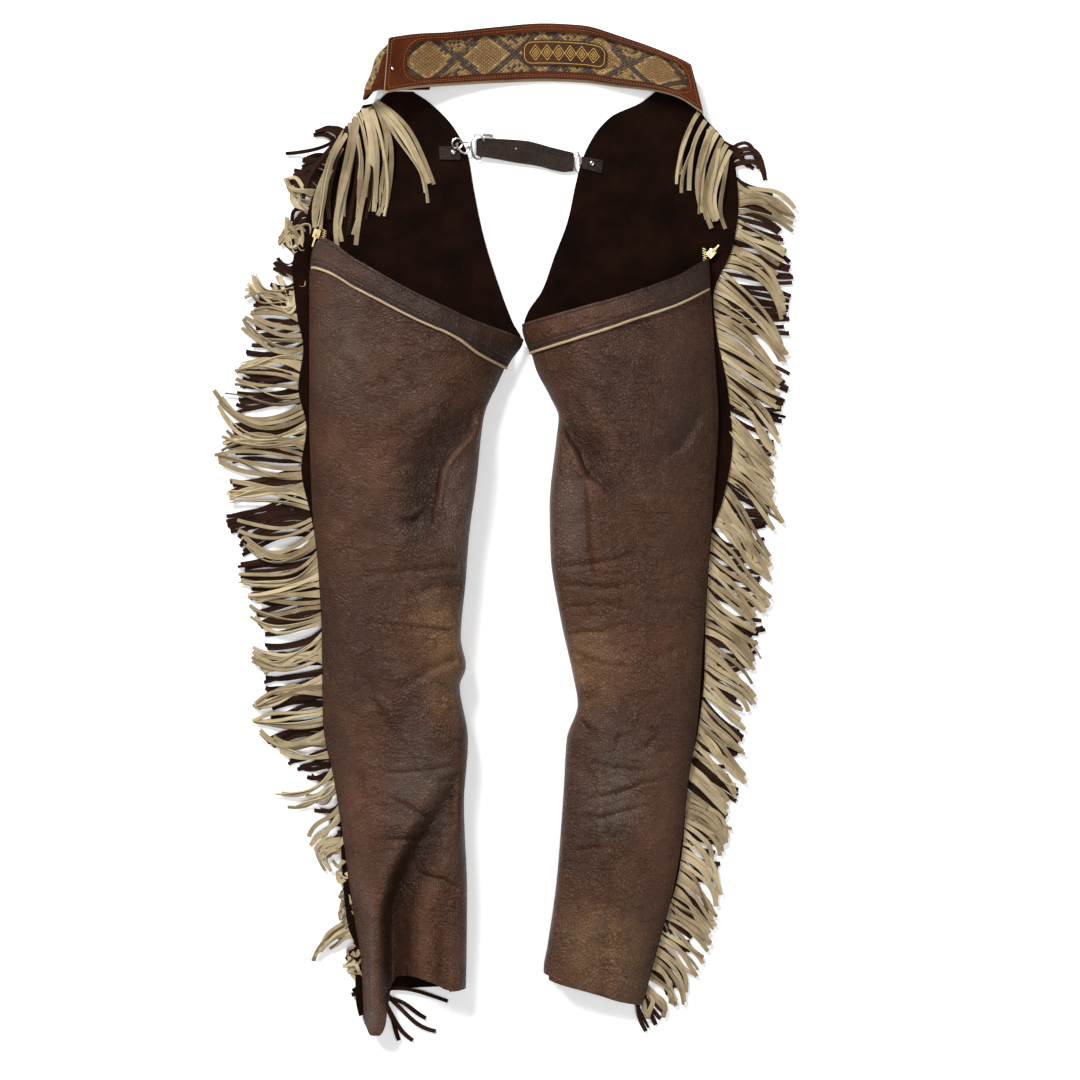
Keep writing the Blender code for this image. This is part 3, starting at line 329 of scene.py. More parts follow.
RIGHT = Leg(
    "right", 1, RIGHT_FOLDS, RIGHT_ZONES,
    outer=[Edge(-470, 132), Edge(-435, 141), Edge(-398, 151), Edge(-345, 165), Edge(-300, 172.5),
           Edge(-240, 179), Edge(-185, 188), Edge(-100, 194), Edge(-15, 200), Edge(50, 205),
           Edge(120, 209), Edge(175, 206), Edge(235, 202), Edge(285, 199)],
    inner=[Edge(-470, 33), Edge(-430, 33), Edge(-405, 37), Edge(-340, 46), Edge(-250, 53),
           Edge(-200, 56), Edge(-165, 67), Edge(-135, 62), Edge(-80, 50), Edge(-15, 40),
           Edge(30, 39), Edge(100, 46), Edge(120, 48), Edge(140, 40), Edge(168, 26), Edge(186, 22),
           Edge(214, 16), Edge(226, 20), Edge(247, 34), Edge(280, 46), Edge(318, 60), Edge(355, 68),
           Edge(380, 75), Edge(402, 86), Edge(421, 103), Edge(435, 133), Edge(448, 150)],
    flange=[Edge(-470, 133), Edge(-435, 142), Edge(-385, 155), Edge(-345, 168), Edge(-310, 174),
            Edge(-240, 180), Edge(-190, 190), Edge(-135, 196), Edge(-40, 198), Edge(0, 202),
            Edge(40, 215), Edge(95, 224), Edge(150, 219), Edge(205, 208), Edge(240, 205),
            Edge(290, 224), Edge(330, 230), Edge(370, 227), Edge(398, 215), Edge(423, 194),
            Edge(448, 187)],
    crown=[Height(-470, 27), Height(-430, 31), Height(-330, 42), Height(-165, 44), Height(0, 51),
           Height(120, 57), Height(285, 60)],
    roll=[Share(-470, 1.0), Share(90, 1.0), Share(135, 0.45), Share(214, 0.0)],
    back_hem=[Across(33, -432), Across(43, -438), Across(80, -449), Across(115, -460),
              Across(133, -464)],
    front_hem=[Across(33, -431), Across(60, -440), Across(135, -458)],
    band_top=[Across(16, 213), Across(45, 219), Across(69, 224.5), Across(100, 233),
              Across(127, 242), Across(165, 257), Across(189, 271.5), Across(200, 279)],
    front_top=[Across(150, 446), Across(180, 446), Across(190, 432), Across(200, 424)],
)
for leg in (LEFT, RIGHT):
    leg.folds += fine_creases(leg.zones)
print("creases:", {leg.name: len(leg.folds) for leg in (LEFT, RIGHT)})

# %% [markdown]
# Shader maths reads best as ordinary expressions. A Shade wraps a socket, so that adding or
# multiplying two of them adds the Math node for us. A Finish is one material being built.

# %% Shader expressions
class Shade:
    """A value in a material; + - * / on it add Math nodes."""

    def __init__(self, finish, socket):
        self.finish, self.socket = finish, socket

    def maths(self, operation, *values):
        return self.finish.node("ShaderNodeMath", {"operation": operation}, *values)

    def __add__(self, other):
        return self.maths("ADD", self, other)

    def __sub__(self, other):
        return self.maths("SUBTRACT", self, other)

    def __rsub__(self, other):
        return self.maths("SUBTRACT", other, self)

    def __mul__(self, other):
        return self.maths("MULTIPLY", self, other)

    def __truediv__(self, other):
        return self.maths("DIVIDE", self, other)

    def __neg__(self):
        return self.maths("MULTIPLY", self, -1.0)

    __radd__, __rmul__ = __add__, __mul__

    def below(self, other):
        return self.maths("MINIMUM", self, other)

    def above(self, other):
        return self.maths("MAXIMUM", self, other)

    def size(self):
        return self.maths("ABSOLUTE", self)

    def raised(self, power):
        return self.maths("POWER", self, power)

    def wave(self):
        return self.maths("SINE", self)

    def zigzag(self, span):
        return self.maths("PINGPONG", self, span)

    def fade(self, low, high, to_low=0.0, to_high=1.0):
        """This value eased from one range onto another."""
        return self.finish.node(
            "ShaderNodeMapRange", {"interpolation_type": "SMOOTHSTEP"}, self, low, high, to_low, to_high
        )


class Finish:
    """A procedural material on one Principled shader."""

    def __init__(self, name, roughness=0.5, metallic=0.0, **fixed):
        self.material = bpy.data.materials.new(name)
        self.material.use_nodes = True
        self.tree = self.material.node_tree
        self.shader = self.tree.nodes["Principled BSDF"]
        self.shader.inputs["Roughness"].default_value = roughness
        self.shader.inputs["Metallic"].default_value = metallic
        for socket, value in fixed.items():
            self.shader.inputs[socket.replace("_", " ")].default_value = value

    def node(self, kind, settings, *values, out=0, **named):
        made = self.tree.nodes.new(kind)
        for key, value in settings.items():
            setattr(made, key, value)
        pairs = list(zip(made.inputs, values)) + [(made.inputs[k.replace("_", " ")], v) for k,
                                                  v in named.items()]
        for socket, value in pairs:
            if isinstance(value, Shade):
                self.tree.links.new(value.socket, socket)
            elif value is not None:
                socket.default_value = value
        return Shade(self, made.outputs[out])

    def place(self):
        """Object coordinates, in metres, which are the frame's own."""
        return self.node("ShaderNodeTexCoord", {}, out="Object")

    def split(self, vector):
        made = self.node("ShaderNodeSeparateXYZ", {}, vector).socket.node
        return [Shade(self, made.outputs[k]) for k in range(3)]

    def stretch(self, vector, scale, turn=0.0):
        return self.node(
            "ShaderNodeMapping", {}, vector, None, (0.0, 0.0, turn), scale
        )

    def noise(self, vector, scale, detail=3.0, rough=0.55, warp=0.0):
        return self.node(
            "ShaderNodeTexNoise", {}, Vector=vector, Scale=scale, Detail=detail, Roughness=rough,
            Distortion=warp
        )

    def noise_colour(self, vector, scale):
        """Three noises at once, centred on zero, to push a pattern out of true."""
        colour = self.node("ShaderNodeTexNoise", {}, Vector=vector, Scale=scale, Detail=2.0,
                           out="Color")
        return self.node("ShaderNodeVectorMath", {"operation": "SUBTRACT"}, colour, (0.5, 0.5, 0.5))

    def cells(self, vector, scale, feature="F1", random_share=1.0, out=0):
        return self.node(
            "ShaderNodeTexVoronoi", {"feature": feature}, Vector=vector, Scale=scale,
            Randomness=random_share, out=out,
        )

    def attribute(self, name, out="Fac"):
        return self.node("ShaderNodeAttribute", {"attribute_name": name}, out=out)

    def blend(self, share, first, second):
        """One colour into another; each is a colour or a Shade of one."""
        made = self.tree.nodes.new("ShaderNodeMix")
        made.data_type = "RGBA"
        for socket, value in ((made.inputs[0], share), (made.inputs[6], first),
                              (made.inputs[7], second)):
            if isinstance(value, Shade):
                self.tree.links.new(value.socket, socket)
            else:
                socket.default_value = value if isinstance(value, float) else (*value, 1.0)
        return Shade(self, made.outputs[2])

    def to(self, socket, value):
        self.tree.links.new(value.socket, self.shader.inputs[socket])
        return self

    def bump(self, height, distance, strength=1.0):
        made = self.node("ShaderNodeBump", {}, Strength=strength, Distance=distance, Height=height)
        return self.to("Normal", made)


print("shader helpers ready")

# %% [markdown]
# Grain leather is dark and even where it is fresh, dull and paler where it has been rubbed, and
# darker down in its creases, which is painted shade; its raised folds turn paler, a painted
# highlight. The patch table holds painted light as well: its darkest brown patches are painted
# shade where shade falls, and its sheen strips are painted highlights. The grain's hollows are
# darker and its pebble tops paler in the colour, partly its own tone and partly painted shade and
# highlight. Pebble grain comes from three sizes of cells and a noise; longer wrinkles come from
# noise that is stretched along the leg's width.

# %% Grain leather
WearAndPaintedLight = namedtuple("WearAndPaintedLight", "x y wide high colour amount")
CHESTNUT = (0.066, 0.0245, 0.0098)
UMBER = (0.037, 0.0130, 0.0055)
RUBBED = (0.165, 0.086, 0.038)
ASHEN = (0.078, 0.050, 0.035)
RUSSET = (0.100, 0.035, 0.0150)
# The darkest brown is painted shade, laid in patches where shade falls: fold troughs, slopes turned away from
# the light, the inner calves and the right thigh.
PAINTED_SHADE_BROWN = (0.026, 0.0095, 0.0043)
# This pale grey brown is a painted highlight: the sheen strips along the lit folds beside the inner seams.
SHEEN = (0.094, 0.058, 0.043)
# Patches of real wear and tone, and of painted light: the darkest brown ones are painted shade, and the sheen
# ones are painted highlights.
WEAR_AND_PAINTED_LIGHT = [
    WearAndPaintedLight(124, 160, 74, 90, PAINTED_SHADE_BROWN, 0.55), WearAndPaintedLight(104, 20, 20, 52, PAINTED_SHADE_BROWN, 0.9),
    WearAndPaintedLight(-95, 150, 50, 50, PAINTED_SHADE_BROWN, 0.45), WearAndPaintedLight(-88, 40, 20, 46, PAINTED_SHADE_BROWN, 1.0),
    WearAndPaintedLight(-47, 30, 21, 78, SHEEN, 1.0), WearAndPaintedLight(60, 28, 19, 88, SHEEN, 0.8),
    WearAndPaintedLight(-66, -92, 38, 46, RUBBED, 1.0), WearAndPaintedLight(-60, -150, 24, 44, RUBBED, 0.6),
    WearAndPaintedLight(-95, -245, 52, 62, ASHEN, 0.85), WearAndPaintedLight(-140, -270, 32, 90, RUSSET, 0.75),
    # The narrow ashen patch at x -133 on the left hem lies along its raised tube and is a painted highlight.
    WearAndPaintedLight(-80, -395, 36, 60, RUSSET, 0.35), WearAndPaintedLight(-133, -420, 15, 90, ASHEN, 0.8),
    WearAndPaintedLight(-164, 190, 38, 70, ASHEN, 0.55), WearAndPaintedLight(-150, 85, 44, 44, RUSSET, 0.55),
    WearAndPaintedLight(-88, -290, 22, 40, PAINTED_SHADE_BROWN, 0.75), WearAndPaintedLight(-112, -345, 20, 50, PAINTED_SHADE_BROWN, 0.7),
    WearAndPaintedLight(78, -125, 42, 50, RUBBED, 1.0), WearAndPaintedLight(125, -118, 62, 44, RUSSET, 0.6),
    WearAndPaintedLight(110, -245, 56, 66, ASHEN, 1.0), WearAndPaintedLight(92, -405, 56, 70, RUBBED, 0.9),
    WearAndPaintedLight(150, -280, 32, 100, RUSSET, 0.75), WearAndPaintedLight(64, -290, 16, 90, PAINTED_SHADE_BROWN, 0.6),
]


def grain_leather(name, base, deep, wear_and_light=(), pebble=1.0, roughness=0.33, gloss=0.22):
    made = Finish(name, Specular_IOR_Level=gloss)
    place = made.place()
    x, y, _ = made.split(place)
    broad = made.noise(place, 16.0, 4.0, 0.6)
    blotch = made.noise(place, 55.0, 5.0, 0.65)
    colour = made.blend(broad.fade(0.35, 0.68), deep, base)
    for patch in wear_and_light:
        across = (x - patch.x * MM) / (patch.wide * MM)
        along = (y - patch.y * MM) / (patch.high * MM)
        ring = (across * across + along * along).raised(0.5)
        mask = (ring + (broad - 0.5) * 1.1).fade(1.25, 0.15) * blotch.fade(0.25, 0.62, 0.45, 1.0)
        colour = made.blend(mask * patch.amount, colour, patch.colour)
    crease = made.attribute("crease")
    # Painted shade: the colour darkens down in the fold troughs. Painted highlight: it turns paler on the
    # raised folds.
    colour = made.blend((0.0 - crease).fade(0.3, 9.0) * 0.72, colour, tuple(c * 0.35 for c in deep))
    colour = made.blend(crease.fade(0.1, 1.2) * 0.28, colour, tuple(c * 1.8 for c in base))
    scuffs = made.noise(made.stretch(place, (1.0, 2.4, 1.0), 0.35), 230.0, 4.0, 0.7)
    colour = made.blend(scuffs.fade(0.63, 0.80) * 0.26, colour, tuple(c * 2.0 for c in base))
    rough = made.noise(place, 34.0, 3.0, 0.55)
    warped = made.node("ShaderNodeVectorMath", {"operation": "ADD"}, place, made.node(
        "ShaderNodeVectorMath", {"operation": "SCALE"}, made.noise_colour(place, 22.0), Scale=0.03))
    pores = made.cells(place, 900.0, "DISTANCE_TO_EDGE", 1.0).fade(0.0, 0.20)
    pebbles = made.noise(place, 300.0, 2.0, 0.55, 1.2)
    grains = made.cells(warped, 330.0, "DISTANCE_TO_EDGE", 1.0).fade(0.0, 0.28)
    crackle = made.cells(made.stretch(warped, (0.75, 1.5, 1.0), 0.3), 165.0, "DISTANCE_TO_EDGE",
                         1.0).fade(0.0, 0.10)
    long_lines = made.noise(made.stretch(place, (0.22, 1.0, 1.0), 0.08), 42.0, 2.0, 0.5, 0.4)
    long_lines = (long_lines - 0.5).size().fade(0.0, 0.014)
    worked = rough.fade(0.42, 0.62)
    # The grain's lines, cracks, pores and cell edges darken the colour and the pebble tops lighten it: partly
    # the grain's own tone, partly painted shade in its hollows and painted highlight on its tops.
    colour = made.blend((1.0 - long_lines) * worked * (0.5 * pebble), colour,
                        tuple(c * 0.4 for c in deep))
    colour = made.blend((1.0 - crackle) * worked * (0.42 * pebble), colour,
                        tuple(c * 0.4 for c in deep))
    colour = made.blend((1.0 - pores) * (0.14 * pebble), colour, tuple(c * 0.4 for c in deep))
    colour = made.blend((1.0 - grains) * (0.44 * pebble), colour, tuple(c * 0.45 for c in deep))
    colour = made.blend(pebbles.fade(0.54, 0.72) * (0.2 * pebble), colour, tuple(c * 1.9 for c in base))
    made.to("Base Color", colour)
    made.to("Roughness", broad * 0.22 + rough * 0.24 + (roughness - 0.16))
    height = (pores * 0.06 + pebbles * 0.32 + grains * 0.34
              + (crackle * 0.4 + long_lines * 0.5) * worked) * pebble
    made.bump(height + blotch * 0.3, 0.0015, 0.9)
    return made.material


brown_leather = grain_leather("brown_grain_leather", CHESTNUT, UMBER, WEAR_AND_PAINTED_LIGHT)
band_leather = grain_leather("band_leather", (0.040, 0.0170, 0.0085), (0.022, 0.0090, 0.0045), [
    WearAndPaintedLight(75, 215, 90, 30, RUSSET, 0.6), WearAndPaintedLight(-160, 270, 40, 26, RUSSET, 0.3)], 0.7, 0.40)
rust_leather = grain_leather("rust_belt_leather", (0.074, 0.0160, 0.0028), (0.042, 0.0080, 0.0013),
                             (), 0.4, 0.40, 0.05)
strap_leather = grain_leather("strap_leather", (0.019, 0.0084, 0.0048), (0.0095, 0.0042, 0.0025),
                              (), 0.6, 0.5, 0.15)
patch_leather = grain_leather("belt_patch_leather", (0.052, 0.0200, 0.0080),
                              (0.030, 0.0110, 0.0045), (), 0.5, 0.45, 0.1)
edge_leather = grain_leather("tan_edge_leather", (0.400, 0.300, 0.185), (0.280, 0.190, 0.105), (),
                             0.3, 0.5)
print("leathers:", brown_leather.name, band_leather.name, rust_leather.name)

# %% [markdown]
# Suede is the flesh side: no gloss, a short nap that lies in soft patches, and tiny fibres.
# The fringe is suede too. Each strip carries its own tone, because strips lie nap up or down.

# %% Suede, fringe and thread
def suede(name, light, dark, tone=None):
    made = Finish(name, 0.95, Specular_IOR_Level=0.05)
    place = made.place()
    patches = made.noise(place, 26.0, 5.0, 0.62)
    nap = made.noise(made.stretch(place, (1.0, 2.2, 1.0), 0.5), 620.0, 3.0, 0.7)
    share = patches.fade(0.30, 0.70) * 0.72 + nap * 0.34
    if tone:
        share = share * 0.55 + made.attribute(tone) * 0.62 - 0.08
    made.to("Base Color", made.blend(share.above(0.0).below(1.0), dark, light))
    made.bump(nap * 0.6 + patches * 0.6, 0.0006, 0.8)
    return made.material


def thread(name, light, dark):
    made = Finish(name, 0.7)
    place = made.place()
    twist = made.noise(made.stretch(place, (1.0, 1.0, 1.0), 0.7), 1500.0, 2.0)
    made.to("Base Color", made.blend(twist.fade(0.35, 0.65), dark, light))
    made.bump(twist, 0.0002)
    return made.material


dark_suede = suede("dark_flesh_side", (0.0085, 0.0025, 0.0010), (0.0016, 0.0006, 0.0003))
tan_fringe = suede("tan_fringe_suede", (0.430, 0.350, 0.215), (0.115, 0.075, 0.038), "strip_tone")
brown_fringe = suede("brown_fringe_suede", (0.030, 0.0125, 0.0080), (0.0060, 0.0027, 0.0019),
                     "strip_tone")
dark_thread = thread("dark_thread", (0.020, 0.009, 0.0055), (0.007, 0.0035, 0.0025))
light_thread = thread("light_thread", (0.200, 0.110, 0.055), (0.080, 0.040, 0.022))
gold_thread = thread("gold_thread", (0.640, 0.400, 0.075), (0.330, 0.180, 0.030))
print("suedes and threads ready")

# %% [markdown]
# Metal: nickel-plated steel on the strap and yellow brass on the zips. Fine scratches and
# fingermarks change only the roughness, so that the reflections break up a little.

# %% Metal, zip tape and snakeskin
def metal(name, colour, dull, roughness):
    made = Finish(name, roughness, 1.0)
    place = made.place()
    marks = made.noise(place, 240.0, 4.0, 0.6)
    made.to("Base Color", made.blend(marks.fade(0.45, 0.75), colour, dull))
    made.to("Roughness", marks * 0.25 + (roughness - 0.08))
    made.bump(made.noise(place, 1200.0, 2.0), 0.00008, 0.5)
    return made.material


def woven_tape(name, colour):
    made = Finish(name, 0.95, Specular_IOR_Level=0.05)
    x, y, _ = made.split(made.place())
    rib = (x * 5200.0).wave() * (y * 5200.0).wave()
    made.to("Base Color", made.blend(rib.fade(-0.6, 0.8), tuple(c * 0.4 for c in colour), colour))
    made.bump(rib, 0.00025)
    return made.material


def snakeskin(name):
    """Scales are cells; big diamonds decide each scale's colour, so the pattern steps scale by scale."""
    made = Finish(name, 0.36, Specular_IOR_Level=0.3)
    along = made.node("ShaderNodeUVMap", {"uv_map": "along"})
    skewed = made.stretch(along, (1.0, 1.25, 1.0), 0.785)
    middle = made.cells(skewed, 330.0, "F1", 0.25, "Position")
    rim = made.cells(skewed, 330.0, "DISTANCE_TO_EDGE", 0.25)
    u, v, _ = made.split(made.stretch(middle, (1.0, 1.0, 1.0), -0.785))
    wobble = made.noise(middle, 60.0, 3.0, 0.7) - 0.5
    random_tone = made.noise(middle, 900.0, 1.0)
    across = (v * 0.8 - 0.0273).size() / 0.0205
    diamond = (u + 0.079).zigzag(0.0285) / 0.0285 * 1.12 + across * 0.88 + wobble * 0.55
    inside = diamond.fade(0.70, 0.78, 1.0, 0.0)
    dark = diamond.fade(0.88, 0.94) * diamond.fade(1.22, 1.36, 1.0, 0.0)
    specks = diamond.fade(1.24, 1.4) * random_tone.fade(0.50, 0.56)
    colour = made.blend(random_tone.fade(0.3, 0.7), (0.150, 0.078, 0.020), (0.320, 0.198, 0.062))
    colour = made.blend(inside * 0.75, colour, (0.165, 0.078, 0.019))
    colour = made.blend(dark.above(specks) * random_tone.fade(0.30, 0.42, 0.55, 1.0), colour,
                        (0.030, 0.018, 0.011))
    net = rim.fade(0.02, 0.16, 1.0, 0.0) * (inside * 0.55 + 0.42)
    colour = made.blend(net, colour, (0.035, 0.020, 0.011))
    made.to("Base Color", colour)
    made.bump(rim.fade(0.0, 0.35), 0.0006)
    return made.material


steel = metal("nickel_plate", (0.50, 0.49, 0.47), (0.24, 0.23, 0.21), 0.24)
brass = metal("zip_brass", (0.83, 0.66, 0.36), (0.50, 0.36, 0.17), 0.28)
tape_cloth = woven_tape("zip_tape_weave", (0.006, 0.0045, 0.004))
snake = snakeskin("snakeskin_inlay")
print("metals, tape and snakeskin ready")

# %% [markdown]
# Leather is a thin shell: a grid of middle points, then a Solidify modifier for its wall. A shell
# can get a UV in metres, so a finish can run along it, and it gets a crease value, from which the
# grain leather paints shade into its troughs and highlight onto its ridges.

# %% Shells from grids
def deselect():
    bpy.ops.object.select_all(action="DESELECT")


def settle(piece):
    """Makes a piece the only selected one and applies every modifier on it."""
    deselect()
    piece.select_set(True)
    bpy.context.view_layer.objects.active = piece
    for modifier in list(piece.modifiers):
        bpy.ops.object.modifier_apply(modifier=modifier.name)
    return piece


def mesh_piece(name, points, faces, finish, crease=None, uv=None):
    mesh = bpy.data.meshes.new(name)
    mesh.from_pydata([tuple(p) for p in np.asarray(points) * MM], [], faces)
    if crease is not None:
        mesh.attributes.new("crease", "FLOAT", "POINT").data.foreach_set("value",
                                                                         np.asarray(crease, np.float32))
    if uv is not None:
        layer = mesh.uv_layers.new(name="along")
        order = np.empty(len(mesh.loops), np.int32)
        mesh.loops.foreach_get("vertex_index", order)
        layer.data.foreach_set("uv", (np.asarray(uv)[order] * MM).astype(np.float32).ravel())
    made = bpy.data.objects.new(name, mesh)
    bpy.context.scene.collection.objects.link(made)
    for each in finish if isinstance(finish, (list, tuple)) else [finish]:
        mesh.materials.append(each)
    return made


def shell(name, X, Y, Z, thickness, finish, crease=None, uv=None, round_edges=0.0, flip=False,
          ring=False):
    """A leather wall on the grid X, Y, Z, with rows first."""
    rows, columns = X.shape
    points = np.stack([X, Y, Z], axis=-1).reshape(-1, 3)
    faces = []
    for i in range(rows - 1):
        for j in range(columns if ring else columns - 1):
            k = (j + 1) % columns
            face = (i * columns + j, i * columns + k, (i + 1) * columns + k, (i + 1) * columns + j)
            faces.append(face[::-1] if flip else face)
    crease = np.zeros(len(points)) if crease is None else np.ravel(crease)
    made = mesh_piece(name, points, faces, finish, crease, None if uv is None else uv.reshape(-1, 2))
    wall = made.modifiers.new("wall", "SOLIDIFY")
    wall.thickness = thickness * MM
    wall.offset = 0
    wall.material_offset = 1 if isinstance(finish, (list, tuple)) else 0
    if round_edges:
        edge = made.modifiers.new("round", "BEVEL")
        edge.width = round_edges * MM
        edge.segments = 2
        edge.limit_method = "ANGLE"
        edge.angle_limit = math.radians(50)
    settle(made)
    bpy.ops.object.shade_smooth_by_angle(angle=math.radians(42))
    return made


def grid_area(X, Y, Z):
    """Area of a grid of points, in square metres."""
    P = np.stack([X, Y, Z], axis=-1)
    a, b = P[1:, :-1] - P[:-1, :-1], P[:-1, 1:] - P[:-1, :-1]
    return float(np.linalg.norm(np.cross(a, b), axis=-1).sum()) * MM * MM


def lay(piece, node=None):
    """Rides a piece on the chaps and hides the imported solids it stands in for."""
    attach(piece, BODY)
    if node:
        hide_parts(*([node] if isinstance(node, str) else node))
    return piece


# %% [markdown]
# The floor comes first, because the cloth rests on it: a big plane with a soft matt finish.

# %% Floor
bpy.ops.mesh.primitive_plane_add(size=9.0, location=(0.032, 0, -0.0004))
floor = bpy.context.active_object
floor.name = "floor"
bpy.ops.object.transform_apply(location=True)
paper = Finish("pale_floor", 0.9, Specular_IOR_Level=0.1)
tooth = paper.noise(paper.place(), 400.0, 2.0)
paper.to("Base Color", paper.blend(tooth, (0.92, 0.92, 0.92), (0.95, 0.95, 0.95)))
floor.data.materials.append(paper.material)
floor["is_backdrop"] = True
print("floor:", [round(d, 2) for d in floor.dimensions])

# %% [markdown]
# The back panel. Columns run from the zip over the crown to the lap on the inner side, rows from
# the hem to the top edge. Its folds are already in the leg's surface, so the grid only samples it.

# %% Back panels
BACK_ROWS = 400
BACK_COLUMNS = 118


def back_grid(leg, rows=BACK_ROWS, columns=BACK_COLUMNS):
    share = np.linspace(0, 1, columns)
    share = mix(share, ease(0, 1, share), 0.35)
    low = smooth_at(leg.back_hem, leg.back(share, np.full_like(share, -450.0), bare=True)[0])
    high = leg.band_y(share)
    t = np.linspace(0, 1, rows)[:, None]
    Y = mix(low[None, :], high[None, :], t)
    S = np.broadcast_to(share[None, :], Y.shape)
    X, Z = leg.back(S, Y)
    bare = leg.back(S, Y, bare=True)[1]
    return X, Y, Z, Z - bare


def back_panel(leg):
    X, Y, Z, relief = back_grid(leg)
    soft = 0.5 * np.sin(X / 17 + Y / 31) * np.sin(Y / 23 + 1.3) * ease(14, 30, Z)
    # The relief goes in as the crease value, so the finish paints shade into its troughs and highlight onto its
    # ridges.
    made = shell(
        f"{leg.name}_back_leather", X, Y, Z + soft, LEATHER, brown_leather, relief, None,
        flip=leg.side > 0
    )
    return lay(made, f"{leg.name}_back_panel")


for leg in (LEFT, RIGHT):
    back_panel(leg)

# %% [markdown]
# The front panel. It lies on the floor, climbs onto the fringe at its outer edge and rolls up
# round the inner side, to tuck in under the back panel. Its grain side is underneath, so the
# shell has two finishes: suede above and leather below, which shows where it rolls.

# %% Front panels
FRONT_ROWS = 260
ROLL_DEGREES = list(range(8, 91, 7)) + [90]
TUCK_SHARES = [k / 6 for k in range(1, 7)]
FRONT_PLACES = (
    [("edge", d) for d in (0, 3, 6, 10, 13, 16, 19)] + [("floor", k / 30) for k in range(31)]
    + [("roll", d) for d in ROLL_DEGREES] + [("tuck", s) for s in TUCK_SHARES]
)


def panel_height(flange, x, y):
    raised = mix(FLANGE_Z, FLOOR_Z, ease(425, 440, y))
    return mix(raised, FLOOR_Z, np.clip((np.abs(x - flange) - 10) / 12, 0, 1))


def front_column(leg, y, kind, amount):
    """X and Z of one column of the front panel, over all its Y."""
    cut = leg.cut(y)
    inward = -leg.side
    flange = smooth_at(leg.flange, y)
    foot = mix(5.0, 18.0, cut.rounded)
    start, stop = flange + inward * 22, cut.inner - inward * foot
    if kind == "edge":
        x = flange + inward * amount
        return x, panel_height(flange, x, y)
    if kind == "floor":
        return mix(start, stop, amount), np.full_like(y, FLOOR_Z)
    if kind == "roll":
        angle = math.radians(amount)
        x = stop + inward * foot * math.sin(angle) - inward * SEAM_LIFT * math.sin(angle)
        z = cut.side_z - (cut.side_z - FLOOR_Z) * math.cos(angle)
        done = amount / 90 * 4 / 7
    else:
        high = leg.lap_angle(y, cut.lap + UNDERLAP * cut.rounded + 0.5)
        x, z = leg.rolled(y, high * amount, SEAM_LIFT)
        z = z + leg.relief(x, y, z)
        done = 4 / 7 + amount * 3 / 7
    flat = cut.inner - inward * foot * (1 - done)
    open_edge = ease(165, 192, y)
    return mix(x, flat, open_edge), mix(z, FLOOR_Z, open_edge)


def front_grid(leg):
    t = np.linspace(0, 1, FRONT_ROWS)
    low_y, high_y = min(p.y for p in leg.front_hem), max(p.y for p in leg.front_top)
    X, Y, Z = (np.empty((FRONT_ROWS, len(FRONT_PLACES))) for _ in range(3))
    for j, (kind, amount) in enumerate(FRONT_PLACES):
        low = smooth_at(leg.front_hem, front_column(leg, np.array([low_y * 1.0]), kind, amount)[0])[0]
        high = smooth_at(leg.front_top, front_column(leg, np.array([high_y * 1.0]), kind, amount)[0])[0]
        Y[:, j] = mix(low, high, t)
        X[:, j], Z[:, j] = front_column(leg, Y[:, j], kind, amount)
    return X, Y, Z


def front_panel(leg):
    X, Y, Z = front_grid(leg)
    flat = (np.abs(Z - FLOOR_Z) < 0.2) & (Y > 205)
    wave = np.abs(np.sin(X / 26 + Y / 47)) * np.abs(np.sin(Y / 35 - X / 60)) * 2.2
    edge = np.abs(X - smooth_at(leg.inner, Y))
    lift = wave * ease(205, 250, Y) * ease(446, 415, Y) * (0.4 + 0.6 * ease(40, 4, edge))
    Z = Z + np.where(flat, lift, 0)
    made = shell(
        f"{leg.name}_front_leather", X, Y, Z, LEATHER, (dark_suede, brown_leather), None, None,
        flip=leg.side > 0,
    )
    return lay(made, f"{leg.name}_front_panel")


for leg in (LEFT, RIGHT):
    front_panel(leg)

# %% [markdown]
# Pieces sewn on a leg are made from the leg's own points, moved out along its normal. So a band
# follows every fold beneath it and never sinks into it.

# %% Bands and piping on the thighs
def on_back(leg, share, y, lift):
    """Points of the back panel moved out by lift along the leather's own normal."""
    x, z = leg.back(share, y)
    x0, z0 = leg.back(np.clip(share - 0.01, 0, 1), y)
    x1, z1 = leg.back(np.clip(share + 0.01, 0, 1), y)
    x2, z2 = leg.back(share, y - 2)
    x3, z3 = leg.back(share, y + 2)
    across = np.stack([x1 - x0, np.zeros_like(x), z1 - z0], axis=-1)
    along = np.stack([x3 - x2, np.full_like(x, 4.0), z3 - z2], axis=-1)
    normal = np.cross(across, along)
    normal *= -leg.side / np.linalg.norm(normal, axis=-1, keepdims=True)
    return np.stack([x, y, z], axis=-1) + normal * np.asarray(lift)[..., None]


BAND_SHARE = np.linspace(0.035, 1, 150)
BAND_LIFT = LEATHER / 2 + 3 * GAP
BAND_SEAMS = (3.2, BAND_WIDTH - 6.4, BAND_WIDTH - 2.6)


def strip_grid(leg, near, far, rows, lift, crown=0.0, seams=()):
    """A strip on the back panel, between two distances below its top edge, puffed by crown and
    pulled down along its seams."""
    t = np.linspace(0, 1, rows)[:, None]
    S = np.broadcast_to(BAND_SHARE[None, :], (rows, len(BAND_SHARE)))
    Y = leg.band_y(BAND_SHARE)[None, :] - mix(far, near, t)
    puff = crown * np.sin(math.pi * t) ** 0.6 + 0 * S
    groove = sum((0.55 * np.exp(-((mix(far, near, t) - seam) / 0.8) ** 2) for seam in seams), 0 * S)
    return on_back(leg, S, Y, lift + puff - groove), groove


